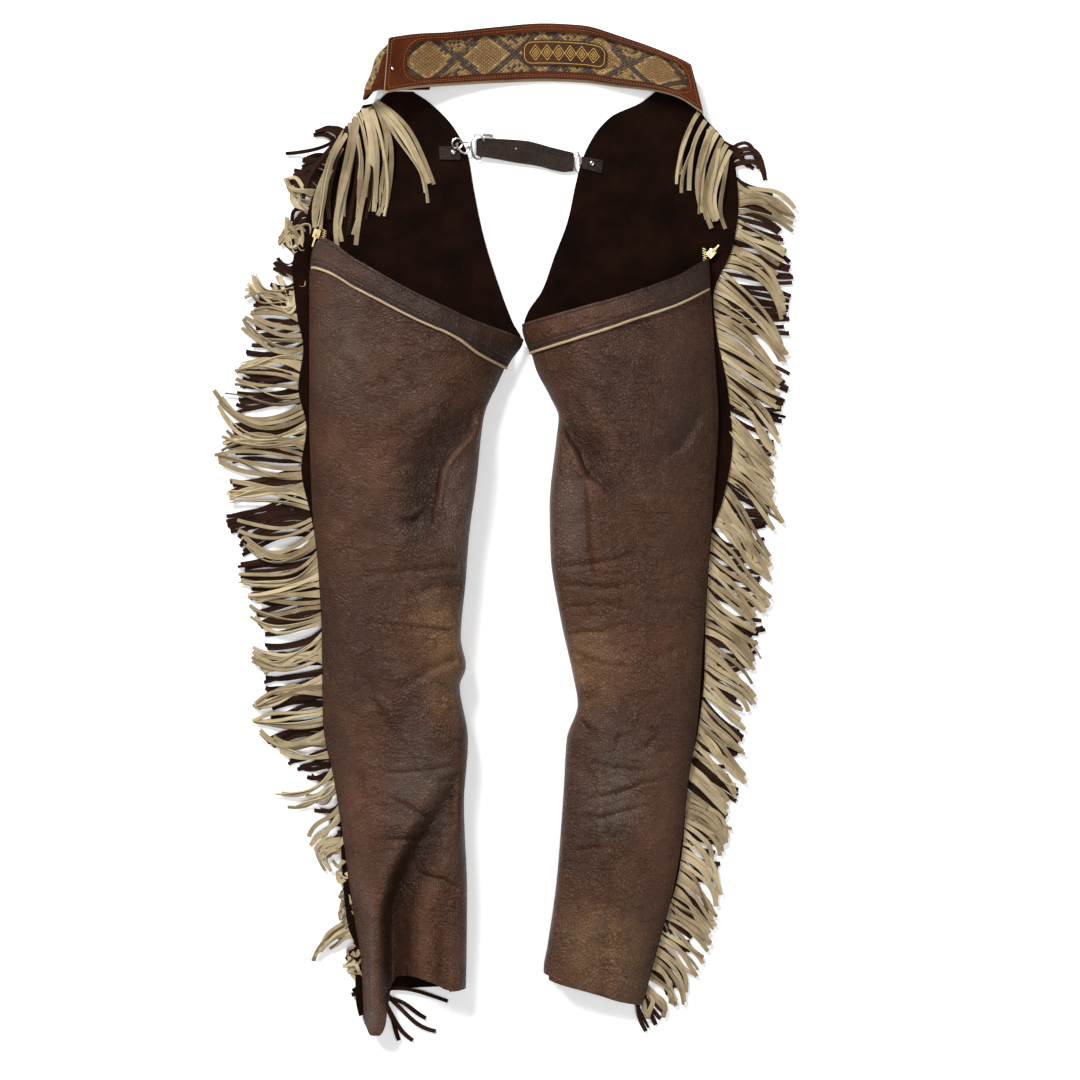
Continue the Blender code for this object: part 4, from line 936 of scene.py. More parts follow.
def thigh_band(leg):
    P, groove = strip_grid(leg, 0.4, BAND_WIDTH, 44, BAND_LIFT + BAND_LEATHER / 2, 0.9, BAND_SEAMS)
    X, Y, Z = np.moveaxis(P, -1, 0)
    wrinkle = 0.35 * np.sin(X / 4.1 + Y / 9) * np.sin(X / 11 - Y / 5)
    # The crease values paint shade into the seam grooves and a faint highlight onto the wrinkle tops.
    band = shell(f"{leg.name}_band_leather", X, Y, Z + wrinkle, BAND_LEATHER, band_leather,
                 wrinkle - 22 * groove, None, flip=leg.side > 0)
    lay(band, f"{leg.name}_thigh_band")
    near = BAND_WIDTH + GAP
    X, Y, Z = np.moveaxis(strip_grid(leg, near, near + 1.7, 5, BAND_LIFT + 0.9, 0.6)[0], -1, 0)
    piping = shell(f"{leg.name}_piping", X, Y, Z, 1.4, edge_leather, None, None, flip=leg.side > 0)
    return lay(piping, f"{leg.name}_band_piping")


for leg in (LEFT, RIGHT):
    thigh_band(leg)

# %% [markdown]
# A stitch is one small bead: a sphere squeezed long and low, with its ends dipped in the leather.
# It is modelled once. Each row is one mesh made of copies of its points, turned to follow a line.

# %% Stitches
bpy.ops.mesh.primitive_uv_sphere_add(segments=6, ring_count=5, radius=0.5)
bead = bpy.context.active_object
bpy.ops.object.mode_set(mode="EDIT")
bpy.ops.mesh.select_all(action="SELECT")
bpy.ops.transform.rotate(value=math.pi / 2, orient_axis="Y", center_override=(0, 0, 0))
bpy.ops.object.mode_set(mode="OBJECT")
BEAD_POINTS = np.array([v.co[:] for v in bead.data.vertices])
BEAD_FACES = [tuple(p.vertices) for p in bead.data.polygons]
bpy.data.objects.remove(bead)


def spaced(path, pitch):
    """Points and directions every pitch along a path of points."""
    path = np.asarray(path, float)
    lengths = np.concatenate([[0], np.cumsum(np.linalg.norm(np.diff(path, axis=0), axis=1))])
    count = max(2, int(lengths[-1] / pitch))
    at = (np.arange(count) + 0.5) * lengths[-1] / count
    where = np.stack([np.interp(at, lengths, path[:, k]) for k in range(3)], axis=1)
    ahead = np.stack([np.interp(at + pitch / 3, lengths, path[:, k]) for k in range(3)], axis=1) - \
        np.stack([np.interp(at - pitch / 3, lengths, path[:, k]) for k in range(3)], axis=1)
    return where, ahead / np.linalg.norm(ahead, axis=1, keepdims=True)


def many(name, base_points, base_faces, places, axes, finish, smooth=True):
    """One mesh of copies of a small solid: axes holds each copy's three scaled directions."""
    points = np.einsum("pk,nkc->npc", base_points, axes) + places[:, None, :]
    size = len(base_points)
    faces = [tuple(v + i * size for v in face) for i in range(len(places)) for face in base_faces]
    made = mesh_piece(name, points.reshape(-1, 3), faces, finish)
    made.data.shade_smooth() if smooth else made.data.shade_flat()
    return made


def stitches(name, paths, finish, pitch=3.4, length=2.6, width=0.8, seed=1):
    """Rows of stitches along paths, each slightly uneven."""
    pick = np.random.default_rng(seed)
    places, axes = [], []
    for path in paths:
        where, ahead = spaced(path, pitch)
        turn = pick.normal(0, 0.06, len(where))
        up = np.array([0.0, 0.0, 1.0])
        side = np.cross(up, ahead)
        side /= np.linalg.norm(side, axis=1, keepdims=True)
        ahead = ahead + side * turn[:, None]
        places.append(where)
        axes.append(np.stack([ahead * length, side * width, np.cross(ahead, side) * width], axis=1))
    made = many(name, BEAD_POINTS, BEAD_FACES, np.concatenate(places), np.concatenate(axes), finish)
    print(f"{name}: {sum(len(p) for p in places)} stitches")
    return made


def seam_along_band(leg, below, lift):
    y = leg.band_y(BAND_SHARE[1:-1]) - below
    return on_back(leg, BAND_SHARE[1:-1], y, np.full(len(y), lift))


def seam_down_leg(leg, inset, low, high):
    """A seam parallel to the zip edge."""
    y = np.linspace(low, high, 240)
    table = np.linspace(0, 1, 220)[:110]
    xs = np.stack([leg.back(np.full_like(y, s), y, bare=True)[0] for s in table])
    target = xs[0] - leg.side * inset
    share = np.array([
        np.interp(-leg.side * goal, -leg.side * column, table) for goal, column in zip(target, xs.T)
    ])
    return on_back(leg, share, y, np.full(len(y), LEATHER / 2 + 0.05))


TOP_OF_BAND = BAND_LIFT + BAND_LEATHER + 0.45
for leg in (LEFT, RIGHT):
    row = stitches(
        f"{leg.name}_band_stitches",
        [seam_along_band(leg, seam, TOP_OF_BAND) for seam in BAND_SEAMS],
        dark_thread, 3.3, 3.1, 0.95, 2,
    )
    lay(row)
    low = smooth_at(leg.back_hem, smooth_at(leg.outer, -450.0)) + 14
    high = leg.band_y(np.array([0.02]))[0] - BAND_WIDTH - 8
    row = stitches(
        f"{leg.name}_edge_stitches",
        [seam_down_leg(leg, 2.2, low, high), seam_down_leg(leg, 7.6, low, high)],
        dark_thread, 3.6, 2.8, 0.8, 3,
    )
    lay(row)

# %% [markdown]
# The closed zip runs between the flange and the back panel. A tooth is a small bevelled block,
# set in two facing rows that are half a pitch apart.

# %% Zips
bpy.ops.mesh.primitive_cube_add(size=1.0)
block = bpy.context.active_object
edge = block.modifiers.new("edge", "BEVEL")
edge.width = 0.14
edge.segments = 1
settle(block)
TOOTH_POINTS = np.array([v.co[:] for v in block.data.vertices])
TOOTH_FACES = [tuple(p.vertices) for p in block.data.polygons]
bpy.data.objects.remove(block)


def zip_fastener(leg):
    low = smooth_at(leg.back_hem, leg.back(np.array([0.0]), np.array([-450.0]))[0])[0] + 3
    top = max(p.y for p in leg.band_top) + 10
    y = np.linspace(low, top, 160)
    x = smooth_at(leg.outer, y)
    across = np.linspace(-9, 1.4, 7)
    X = x[:, None] + leg.side * across[None, :]
    Y = np.broadcast_to(y[:, None], X.shape)
    Z = np.full_like(X, ZIP_Z)
    tape = shell(f"{leg.name}_zip_tape", X, Y, Z, ZIP_TAPE * 0.6, tape_cloth, None, None,
                 flip=leg.side < 0)
    lay(tape, f"{leg.name}_zip")
    where, ahead = spaced(np.stack([x - leg.side * 3.2, y, np.full_like(y, ZIP_Z + 0.75)], axis=1),
                          1.15)
    flip = np.where(np.arange(len(where)) % 2, 1.0, -1.0)[:, None]
    side = np.cross([0, 0, 1.0], ahead)
    where = where + side * flip * 0.8
    axes = np.stack([ahead * 0.85, side * 2.4, np.broadcast_to([0, 0, 0.9], side.shape)], axis=1)
    teeth = many(f"{leg.name}_zip_teeth", TOOTH_POINTS, TOOTH_FACES, where, axes, brass, smooth=False)
    lay(teeth)
    print(f"{leg.name} zip: {len(where)} teeth")


for leg in (LEFT, RIGHT):
    zip_fastener(leg)

# %% [markdown]
# The belt is a band of four layers that bends over the waist. Everything on it is placed by a
# length along it and a share of its height, so the layers can't drift apart.

# %% Belt layers
Station = namedtuple("Station", "top_x top_y low_x low_y z")
BELT = [
    Station(-117.5, 493.5, -122, 439, 31), Station(-92, 498.5, -95, 445, 25),
    Station(-60, 502.5, -60, 450, 14),
    Station(-10, 509.5, -10, 454.5, 5.6), Station(36, 513.5, 38, 456.5, 3.1),
    Station(74, 511.5, 75, 455, 3.6),
    Station(113, 499.5, 108, 450, 8), Station(151, 484.5, 148, 443.6, 16),
    Station(172, 474.5, 171, 436, 20),
    Station(182, 469, 194.5, 421, 19),
]
BACKING, INLAY, FACE, PATCH = 1.2, 0.8, 1.4, 1.0
BELT_GAP = 0.5
FACE_GAP = 1.6
BELT_HALF = (BACKING + INLAY + FACE + BELT_GAP + FACE_GAP) / 2
BELT_ENDS = [(s.top_x + s.low_x) / 2 for s in (BELT[0], BELT[-1])]
WINDOW = (39.0, 139.0, 0.16, 0.85, 15.0)


def belt_points(x, share, lift):
    """Points on the belt: x along its middle, share 0 at its lower edge to 1 at its upper one."""
    x, share = np.broadcast_arrays(np.asarray(x, float), np.asarray(share, float))
    at = {f: smooth_at([((s.top_x + s.low_x) / 2, getattr(s, f)) for s in BELT], x)
          for f in Station._fields}
    rise = smooth_at([((s.top_x + s.low_x) / 2, s.z) for s in BELT], x + 1) - at["z"]
    size = np.hypot(rise, 1)
    X = mix(at["low_x"], at["top_x"], share) - rise / size * lift
    return np.stack([X, mix(at["low_y"], at["top_y"], share), at["z"] + lift / size], axis=-1)


def window_loop(middle, half, low, high, corner):
    """A closed round-cornered outline on the belt, as x and share, anticlockwise."""
    spread = 54.0
    left, right = middle - half, middle + half
    reach = corner / spread
    xs, ss = [], []
    for centre_x, centre_s, turn in (
        (right - corner, high - reach, 0), (left + corner, high - reach, 1),
        (left + corner, low + reach, 2), (right - corner, low + reach, 3),
    ):
        for k in range(13):
            angle = math.pi / 2 * (k / 12 + turn)
            xs.append(centre_x + corner * math.cos(angle))
            ss.append(centre_s + reach * math.sin(angle))
        if turn in (0, 2):
            ends_x = (right - corner, left + corner) if turn == 0 else (left + corner, right - corner)
            xs += [mix(*ends_x, k / 48) for k in range(1, 48)]
            ss += [high if turn == 0 else low] * 47
    return np.array(xs), np.array(ss)


def belt_sheet(name, x, share, lift, thickness, finish, **more):
    P = belt_points(x, share, lift)
    uv = np.stack([x + 0 * share, share * 54.0 + 0 * x], axis=-1)
    return P, shell(name, P[..., 0], P[..., 1], P[..., 2], thickness, finish, None, uv, **more)


def rounded_columns(middle, half, low, high, corner, columns, rows):
    along = -half * np.cos(math.pi * np.linspace(0, 1, columns))[None, :]
    past = np.clip((np.abs(along) - (half - corner)) / corner, 0, 1)
    height = 1 - 0.62 * (1 - np.sqrt(1 - past ** 2))
    t = np.linspace(-1, 1, rows)[:, None]
    return middle + along + 0 * t, (low + high) / 2 + (high - low) / 2 * height * t


x = np.linspace(BELT_ENDS[0], BELT_ENDS[1], 150)[None, :] + np.zeros((12, 1))
s = np.linspace(0, 1, 12)[:, None] + np.zeros((1, 150))
P, backing = belt_sheet("belt_backing_leather", x, s, -BELT_HALF + BACKING / 2, BACKING, edge_leather)
lay(backing, "belt_backing")

x, s = rounded_columns(39.0, 143.0, 0.10, 0.91, 18, 160, 30)
lift = -BELT_HALF + BACKING + BELT_GAP + INLAY / 2
P, inlay = belt_sheet("belt_snakeskin", x, s, lift, INLAY, snake)
lay(inlay, "belt_inlay")

outer_x, outer_s = window_loop((BELT_ENDS[0] + BELT_ENDS[1]) / 2,
                               (BELT_ENDS[1] - BELT_ENDS[0]) / 2 - 0.3,
                               0.035, 1.0, 1.5)
inner_x, inner_s = window_loop(*WINDOW)
t = np.linspace(0, 1, 9)[:, None]
x, s = mix(outer_x[None, :], inner_x[None, :], t), mix(outer_s[None, :], inner_s[None, :], t)
P, face = belt_sheet("belt_face_leather", x, s, BELT_HALF - FACE / 2, FACE, rust_leather, ring=True)
print(f"belt face: {grid_area(P[..., 0], P[..., 1], P[..., 2]):.4f} m2 of leather round its window")
lay(face, "belt_face")

x, s = rounded_columns(56.5, 42.5, 0.27, 0.72, 12, 60, 10)
lift = -BELT_HALF + BACKING + INLAY + 2 * BELT_GAP + PATCH / 2
P, patch = belt_sheet("belt_patch_leather", x, s, lift, PATCH, patch_leather)
lay(patch, "belt_patch")

# %% [markdown]
# Thread on the belt: a close row round the window and one round the edge. The patch carries a
# plain geometric row of gold diamonds inside a border, which is decoration and nothing more.

# %% Belt stitching
top = BELT_HALF + 0.06
rows = []
for grow in (3.0,):
    gx, gs = window_loop(39.0, 139.0 + grow, 0.16 - grow / 54, 0.85 + grow / 54, 15 + grow)
    gx, gs = np.append(gx, gx[0]), np.append(gs, gs[0])
    rows.append(belt_points(gx, gs, np.full(len(gx), top)))
gx, gs = window_loop((BELT_ENDS[0] + BELT_ENDS[1]) / 2, (BELT_ENDS[1] - BELT_ENDS[0]) / 2 - 3.2,
                     0.075, 0.955, 3)
rows.append(belt_points(np.append(gx, gx[0]), np.append(gs, gs[0]), np.full(len(gx) + 1, top)))
lay(stitches("belt_stitches", rows, light_thread, 2.9, 2.1, 0.6, 5))

top = lift + PATCH / 2 + 0.08
gold = []
border_x, border_s = window_loop(56.5, 40.0, 0.31, 0.68, 7)
gold.append((np.append(border_x, border_x[0]), np.append(border_s, border_s[0])))
for k in range(6):
    centre = 56.5 + (k - 2.5) * 11.6
    for reach, rise in ((5.8, 0.135), (3.2, 0.075), (1.1, 0.028)):
        gold.append((np.array([centre + reach, centre, centre - reach, centre, centre + reach]),
                     0.495 + np.array([0, rise, 0, -rise, 0])))
paths = []
for gx, gs in gold:
    fine = np.linspace(0, len(gx) - 1, 12 * len(gx))
    gx, gs = np.interp(fine, range(len(gx)), gx), np.interp(fine, range(len(gs)), gs)
    paths.append(belt_points(gx, gs, np.full(len(gx), top)))
lay(stitches("belt_gold_thread", paths, gold_thread, 1.15, 1.3, 0.75, 6))

# %% [markdown]
# The front yokes wrap from under the belt's ends round to the floor. They are small, but one
# shows as a dark curl at the belt's left end, with a strip of snakeskin on it.

# %% Front yokes
Column = namedtuple("Column", "inset z low high")
LEFT_YOKE_EDGE = [Edge(434, -144), Edge(447, -141), Edge(461, -135), Edge(477, -130), Edge(492, -117)]
LEFT_YOKE = [
    Column(30, 19.5, 450, 486), Column(20, 22.5, 446, 487), Column(8, 23.5, 441, 488),
    Column(1.5, 20, 436, 489), Column(0, 14, 435.5, 490), Column(2.5, 9, 437, 489),
    Column(10, 2.5, 448, 487), Column(22, FLOOR_Z, 448, 484), Column(62, FLOOR_Z, 448, 480),
]
RIGHT_YOKE_EDGE = [Edge(421, 193), Edge(447, 186.5), Edge(469, 180.5)]
RIGHT_YOKE = [
    Column(16, 14.2, 447, 462), Column(8, 14.6, 443, 463), Column(2, 12.5, 437, 464),
    Column(0, 9.5, 434, 464), Column(3, 5.0, 440, 464), Column(10, FLOOR_Z, 448, 462),
    Column(52, FLOOR_Z, 448, 462),
]


def yoke_grid(edge, columns, inward, fine=8, rows=24):
    steps = np.linspace(0, len(columns) - 1, (len(columns) - 1) * fine + 1)
    fields = [smooth_at([(i, getattr(c, f)) for i, c in enumerate(columns)], steps)
              for f in Column._fields]
    inset, z, low, high = (f[None, :] for f in fields)
    Y = mix(low, high, np.linspace(0, 1, rows)[:, None])
    X = smooth_at(edge, Y) + inward * inset
    Z = z + 0 * Y
    return X, Y, Z


for leg, edge, columns, inward in ((LEFT, LEFT_YOKE_EDGE, LEFT_YOKE, 1),
                                   (RIGHT, RIGHT_YOKE_EDGE, RIGHT_YOKE, -1)):
    X, Y, Z = yoke_grid(edge, columns, inward)
    made = shell(f"{leg.name}_yoke_leather", X, Y, Z, LEATHER, rust_leather, None, None,
                 flip=leg.side < 0)
    lay(made, f"{leg.name}_front_yoke")
X, Y, Z = yoke_grid(LEFT_YOKE_EDGE, [Column(c.inset, c.z, 444, 484) for c in LEFT_YOKE[2:5]], 1)
lift = LEATHER / 2 + INLAY / 2 + 0.3
X, Z = X - lift * 0.8, Z + lift * 0.6
uv = np.stack([Y, X], axis=-1)
made = shell("left_yoke_snakeskin", X, Y, Z, INLAY, snake, None, uv, flip=True)
lay(made, "left_yoke_inlay")

# %% [markdown]
# Fringe. One strip is a flat ribbon with a square-cut tip. Its line is a straight run from root
# to tip, bowed sideways, with a slow wave; it also rolls about its own line, which is what makes
# cut suede look alive. A short table says how the strips lie on each stretch of the seam.

# %% Fringe strips
Run = namedtuple("Run", "y tip_x tip_y bow")
STRIP_WIDTH = 4.4
STRIP_LEATHER = 1.1
STEPS = 14


def ribbon(path, width, roll, thickness=STRIP_LEATHER):
    """Points of a flat strip along a path; roll is its turn about its own line at each point."""
    tangent = np.gradient(path, axis=0)
    tangent /= np.linalg.norm(tangent, axis=1, keepdims=True)
    side = np.cross(tangent, [0, 0, 1.0])
    side /= np.linalg.norm(side, axis=1, keepdims=True)
    normal = np.cross(side, tangent)
    c, s = np.cos(roll)[:, None], np.sin(roll)[:, None]
    across, out = side * c + normal * s, normal * c - side * s
    w, t = width[:, None] / 2, thickness / 2
    return np.stack([path - across * w - out * t, path + across * w - out * t,
                     path + across * w + out * t, path - across * w + out * t], axis=1)


def ribbon_faces(steps):
    faces = [(0, 1, 2, 3)]
    for i in range(steps - 1):
        a, b = i * 4, i * 4 + 4
        faces += [(a + k, b + k, b + (k + 1) % 4, a + (k + 1) % 4) for k in range(4)]
    last = (steps - 1) * 4
    return faces + [(last + 3, last + 2, last + 1, last)]


def strips_piece(name, strips, finish, node, seed, pale=1.0):
    """Joins strips, each given as root, tip, bow, wave, lift and roll, in one mesh."""
    pick = random.Random(seed)
    base = ribbon_faces(STEPS)
    t = np.linspace(0, 1, STEPS)
    points, faces, tones = [], [], []
    for root, tip, bow, wave, lift, roll in strips:
        root, tip = np.array(root, float), np.array(tip, float)
        line = tip - root
        flat = np.array([-line[1], line[0], 0]) / max(1e-6, np.hypot(line[0], line[1]))
        path = root + line * t[:, None]
        path += flat * (bow * 4 * t * (1 - t) + wave * np.sin(2 * math.pi * t) * (0.3 + 0.7 * t))[:,
                                                                                                  None]
        path[:, 2] += lift * np.sin(math.pi * np.clip(t * 1.15, 0, 1)) ** 1.4
        width = STRIP_WIDTH * pick.uniform(0.82, 1.12) * (0.96 + 0.04 * np.cos(t * 9))
        turn = math.radians(roll) * ease(0.0, 0.45,
                                         t) * (0.8
                                               + 0.2 * np.cos(t * 5 + roll)) + math.radians(pick.uniform(4, 14))
        path[:, 2] = np.maximum(path[:, 2], 0.8 + np.abs(np.sin(turn)) * width / 2)
        corners = ribbon(path, width, turn)
        start = sum(len(p) for p in points)
        points.append(corners.reshape(-1, 3))
        faces += [tuple(v + start for v in face) for face in base]
        tones.append(np.full(STEPS * 4, pick.uniform(0.0, pale)))
    points = np.concatenate(points)
    made = mesh_piece(name, points, faces, finish)
    tone = made.data.attributes.new("strip_tone", "FLOAT", "POINT")
    tone.data.foreach_set("value", np.concatenate(tones).astype(np.float32))
    settle(made)
    bpy.ops.object.shade_smooth_by_angle(angle=math.radians(40))
    print(f"{name}: {len(strips)} strips")
    return lay(made, node)


def comb(leg, runs, z, pitch, seed, swing, loose, on_edge=0.0, in_by=6.0):
    """Strips along a seam, read off a table of runs. They lie in bundles: swing moves a whole
    bundle, loose moves each strip in it, and on_edge is the share that has rolled onto an edge."""
    pick = random.Random(seed)
    runs = sorted(runs)
    strips, y, left = [], runs[0].y, 0
    while y < runs[-1].y:
        y += pitch * pick.uniform(0.85, 1.15)
        if left == 0:
            left = pick.randint(3, 7)
            shift = [pick.gauss(0, 4) * swing, pick.gauss(0, 8) * swing, pick.gauss(0, 6) * swing,
                     pick.uniform(0, 3)]
            lean_in = pick.uniform(0.15, 0.5) * swing
            middle = y + left * pitch / 2
        left -= 1
        at = min(max(y, runs[0].y), runs[-1].y)
        tip_x, tip_y, bow = (float(np.interp(at, [r.y for r in runs], [getattr(r, f) for r in runs]))
                             for f in ("tip_x", "tip_y", "bow"))
        edge = float(smooth_at(leg.flange, y))
        root = (edge - leg.side * in_by, y, z)
        tip = (tip_x + leg.side * (pick.gauss(-2, 3) * loose + shift[0]),
               tip_y + pick.gauss(0, 3.5) * loose + shift[1] + (middle - y) * lean_in,
               z + pick.uniform(-0.6, 1.6))
        edgewise = pick.random() < on_edge
        roll = pick.choice([-1, 1]) * pick.uniform(55, 88) if edgewise else pick.gauss(0, 22) * loose
        strips.append((root, tip, bow + pick.gauss(0, 2.5) * loose + shift[2], pick.gauss(0, 3) * loose,
                       pick.uniform(0.0, 3.0) * loose + shift[3], roll))
    return strips


LEFT_TAN = [
    Run(-452, -158, -458, 3), Run(-425, -165, -438, 5), Run(-400, -174, -420, -4),
    Run(-385, -196, -418, -8), Run(-370, -172, -380, 6), Run(-340, -170, -350, 6),
    Run(-300, -184, -318, -6), Run(-275, -186, -300, 6), Run(-250, -196, -268, 8),
    Run(-225, -228, -240, 8), Run(-200, -242, -210, 10), Run(-170, -246, -180, -8),
    Run(-140, -246, -160, 10), Run(-110, -246, -128, 8), Run(-80, -252, -100, 9),
    Run(-50, -255, -66, -8), Run(-20, -268, -38, 10), Run(10, -275, -2, 12), Run(35, -284, 30, -10),
    Run(60, -286, 60, 14), Run(90, -283, 92, -10), Run(115, -284, 120, 12), Run(140, -286, 146, 10),
    Run(165, -272, 178, -12), Run(195, -272, 206, 12), Run(220, -262, 232, -12),
    Run(240, -250, 256, 12), Run(262, -236, 272, 10), Run(285, -226, 296, -10),
    Run(310, -221, 326, 12), Run(335, -222, 346, 12), Run(352, -226, 352, 10),
]
LEFT_BROWN = [
    Run(-462, -150, -470, 0), Run(-430, -160, -436, 3), Run(-400, -162, -408, 3),
    Run(-350, -164, -358, 2), Run(-300, -168, -304, 3), Run(-260, -178, -268, 4),
    Run(-215, -222, -226, -5), Run(-180, -238, -196, 5), Run(-130, -240, -142, -4),
    Run(-80, -246, -92, 4), Run(-30, -260, -42, 5), Run(20, -270, 6, -4), Run(70, -280, 58, 5),
    Run(110, -282, 98, -5), Run(150, -272, 138, 5), Run(190, -264, 176, 4), Run(230, -250, 230, -5),
    Run(265, -236, 270, 4), Run(300, -222, 306, 4), Run(340, -215, 348, -4), Run(372, -208, 382, 4),
    Run(400, -196, 396, 3),
]
RIGHT_TAN = [
    Run(-460, 124, -508, 2), Run(-448, 148, -503, 2), Run(-430, 166, -480, 3),
    Run(-405, 182, -452, 3), Run(-375, 198, -420, 3), Run(-340, 205, -386, 3),
    Run(-300, 207, -348, 3), Run(-262, 216, -306, 3), Run(-225, 221, -272, 3),
    Run(-190, 234, -232, 4), Run(-150, 236, -198, 3), Run(-110, 244, -158, 3),
    Run(-70, 250, -118, 3), Run(-30, 252, -82, 3), Run(10, 258, -42, 4), Run(45, 262, -8, 4),
    Run(80, 272, 28, 4), Run(115, 266, 66, 4), Run(150, 266, 96, 4), Run(185, 270, 134, 5),
    Run(215, 274, 160, 5), Run(245, 278, 190, 5), Run(275, 272, 222, 6), Run(305, 276, 262, 6),
    Run(330, 282, 300, 6), Run(350, 284, 320, 5), Run(368, 262, 338, -8),
]
RIGHT_BROWN = [
    Run(-456, 134, -500, 0), Run(-430, 158, -470, -3), Run(-400, 176, -436, -4),
    Run(-350, 192, -386, -4), Run(-300, 200, -336, -5), Run(-250, 212, -282, -4),
    Run(-200, 226, -226, -5), Run(-150, 234, -176, -5), Run(-100, 246, -124, -6),
    Run(-50, 252, -72, -5), Run(0, 258, -24, -6), Run(50, 266, 28, -6), Run(100, 262, 76, -6),
    Run(150, 270, 116, -6), Run(195, 280, 162, -8), Run(225, 284, 208, -6), Run(255, 284, 238, -4),
    Run(285, 280, 264, -3), Run(310, 276, 288, 3), Run(340, 268, 326, 6), Run(370, 256, 352, 6),
    Run(400, 240, 376, 6),
]
strips_piece("left_brown_strips", comb(LEFT, LEFT_BROWN, BROWN_Z, 4.6, 21, 1.0, 0.6, 0.05),
             brown_fringe,
             "left_fringe_brown", 31)
strips_piece("left_tan_strips", comb(LEFT, LEFT_TAN, TAN_Z, 4.9, 22, 1.25, 1.0, 0.6), tan_fringe,
             "left_fringe_tan", 32)
strips_piece("right_brown_strips", comb(RIGHT, RIGHT_BROWN, BROWN_Z, 4.8, 23, 0.9, 0.6, 0.1),
             brown_fringe,
             "right_fringe_brown", 33)
strips_piece("right_tan_strips", comb(RIGHT, RIGHT_TAN, TAN_Z, 4.7, 24, 0.8, 0.8, 0.25), tan_fringe,
             "right_fringe_tan", 34, 0.7)

# %% [markdown]
# Some strips have fallen over the front panels at the hips, and a few poke out at the left hem.
# These are listed one by one, because each one reads on its own against the dark suede.

# %% Strips listed one by one
Strip = namedtuple("Strip", "x0 y0 x1 y1 bow wave lift roll")
LEFT_HIP = [
    Strip(-131, 436, -74, 353, 10, 2, 3, 20), Strip(-132, 435, -82, 345, 7, -2, 2, -15),
    Strip(-134, 434, -122, 331, 12, 2, 3, 25), Strip(-138, 430, -130, 322, 12, -2, 2, -20),
    Strip(-142, 428, -134, 326, 8, 2, 4, 30), Strip(-147, 424, -155, 303, 12, 2, 2, 20),
    Strip(-152, 420, -166, 296, -6, 3, 4, 10), Strip(-158, 414, -168, 312, 5, 2, 2, -25),
    Strip(-163, 406, -187, 303, -8, -2, 5, 35), Strip(-150, 424, -147, 336, 9, 1, 1, 10),
    Strip(-145, 428, -141, 340, 6, 1, 5, -10), Strip(-168, 392, -193, 312, -6, 2, 2, 15),
    Strip(-156, 414, -150, 320, 7, 2, 3, 12),
]
RIGHT_HIP = [
    Strip(190, 424, 173, 363, -6, 1, 2, 10), Strip(197, 416, 181, 347, -6, -1, 3, -12),
    Strip(203, 410, 194, 325, -9, 1, 3, 15), Strip(209, 404, 197, 333, -8, 1, 2, -10),
    Strip(214, 398, 203, 309, -10, 2, 4, 10), Strip(218, 392, 206, 316, -9, 2, 3, 20),
    Strip(222, 386, 210, 318, -8, 2, 2, -15), Strip(206, 408, 192, 340, -8, 1, 5, 12),
]


def laid_strips(leg, strips, seed=0):
    """The strips as listed and, with a seed, one more close beside each."""
    pick = random.Random(seed)
    made = []
    if seed:
        strips = [s for one in strips for s in (one, one._replace(
            x0=one.x0 - leg.side * 2.5, y0=one.y0 - 3, x1=one.x1 + pick.uniform(-9, 9),
            y1=one.y1 + pick.uniform(-12, 12),
            bow=one.bow * 0.6, wave=one.wave + pick.uniform(-3, 3), roll=pick.uniform(-80, 80)))]
    lift = LEATHER / 2 + 4 * GAP
    for s in strips:
        z0, z1 = (panel_height(smooth_at(leg.flange, y), x + leg.side * 7, y) + lift for x,
                  y in ((s.x0, s.y0), (s.x1, s.y1)))
        made.append(((s.x0, s.y0, float(z0)), (s.x1, s.y1, float(z1)), s.bow, s.wave, s.lift + 1.5,
                     s.roll))
    return made


strips_piece("left_hip_strips", laid_strips(LEFT, LEFT_HIP, 3), tan_fringe,
             "left_hip_fringe", 41)
LEFT_HIP_DARK = [
    Strip(-140, 430, -126, 330, 9, 1, 2, 10), Strip(-148, 424, -142, 318, 9, 1, 2, -10),
    Strip(-154, 418, -160, 302, 6, 2, 2, 12), Strip(-160, 410, -178, 318, -5, 2, 2, 10),
    Strip(-166, 400, -204, 338, -6, 2, 2, -15), Strip(-170, 392, -214, 362, 5, 2, 2, 10),
    Strip(-158, 412, -172, 330, 4, 2, 1, 5), Strip(-164, 402, -222, 384, 6, 1, 3, 10),
]
strips_piece("left_hip_dark_strips", laid_strips(LEFT, LEFT_HIP_DARK), brown_fringe,
             "left_hip_fringe", 44)
strips_piece("right_hip_strips", laid_strips(RIGHT, RIGHT_HIP, 4), tan_fringe,
             "right_hip_fringe", 42)
HEM = [
    ((-121, -450, 3.2), (-60, -463, 1.6), 4, 1, 2, 20),
    ((-121, -456, 3.2), (-72, -493, 1.6), -4, 2, 2, -20),
    ((-122, -460, 3.2), (-82, -480, 1.6), 4, 2, 3, 15),
    ((-122, -464, 3.2), (-95, -502, 1.6), -3, 1, 1, 20),
    ((-123, -467, 3.0), (-109, -502, 1.6), 2, 1, 1, -15),
]
strips_piece("left_hem_strips", HEM, brown_fringe, "left_hem_fringe", 43)

# %% [markdown]
# The strap closes the front. It lies in two layers, folded back through its loop, and ends in
# small tabs that are riveted on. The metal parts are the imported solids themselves, because their
# shapes are already true; they only get their finish here.

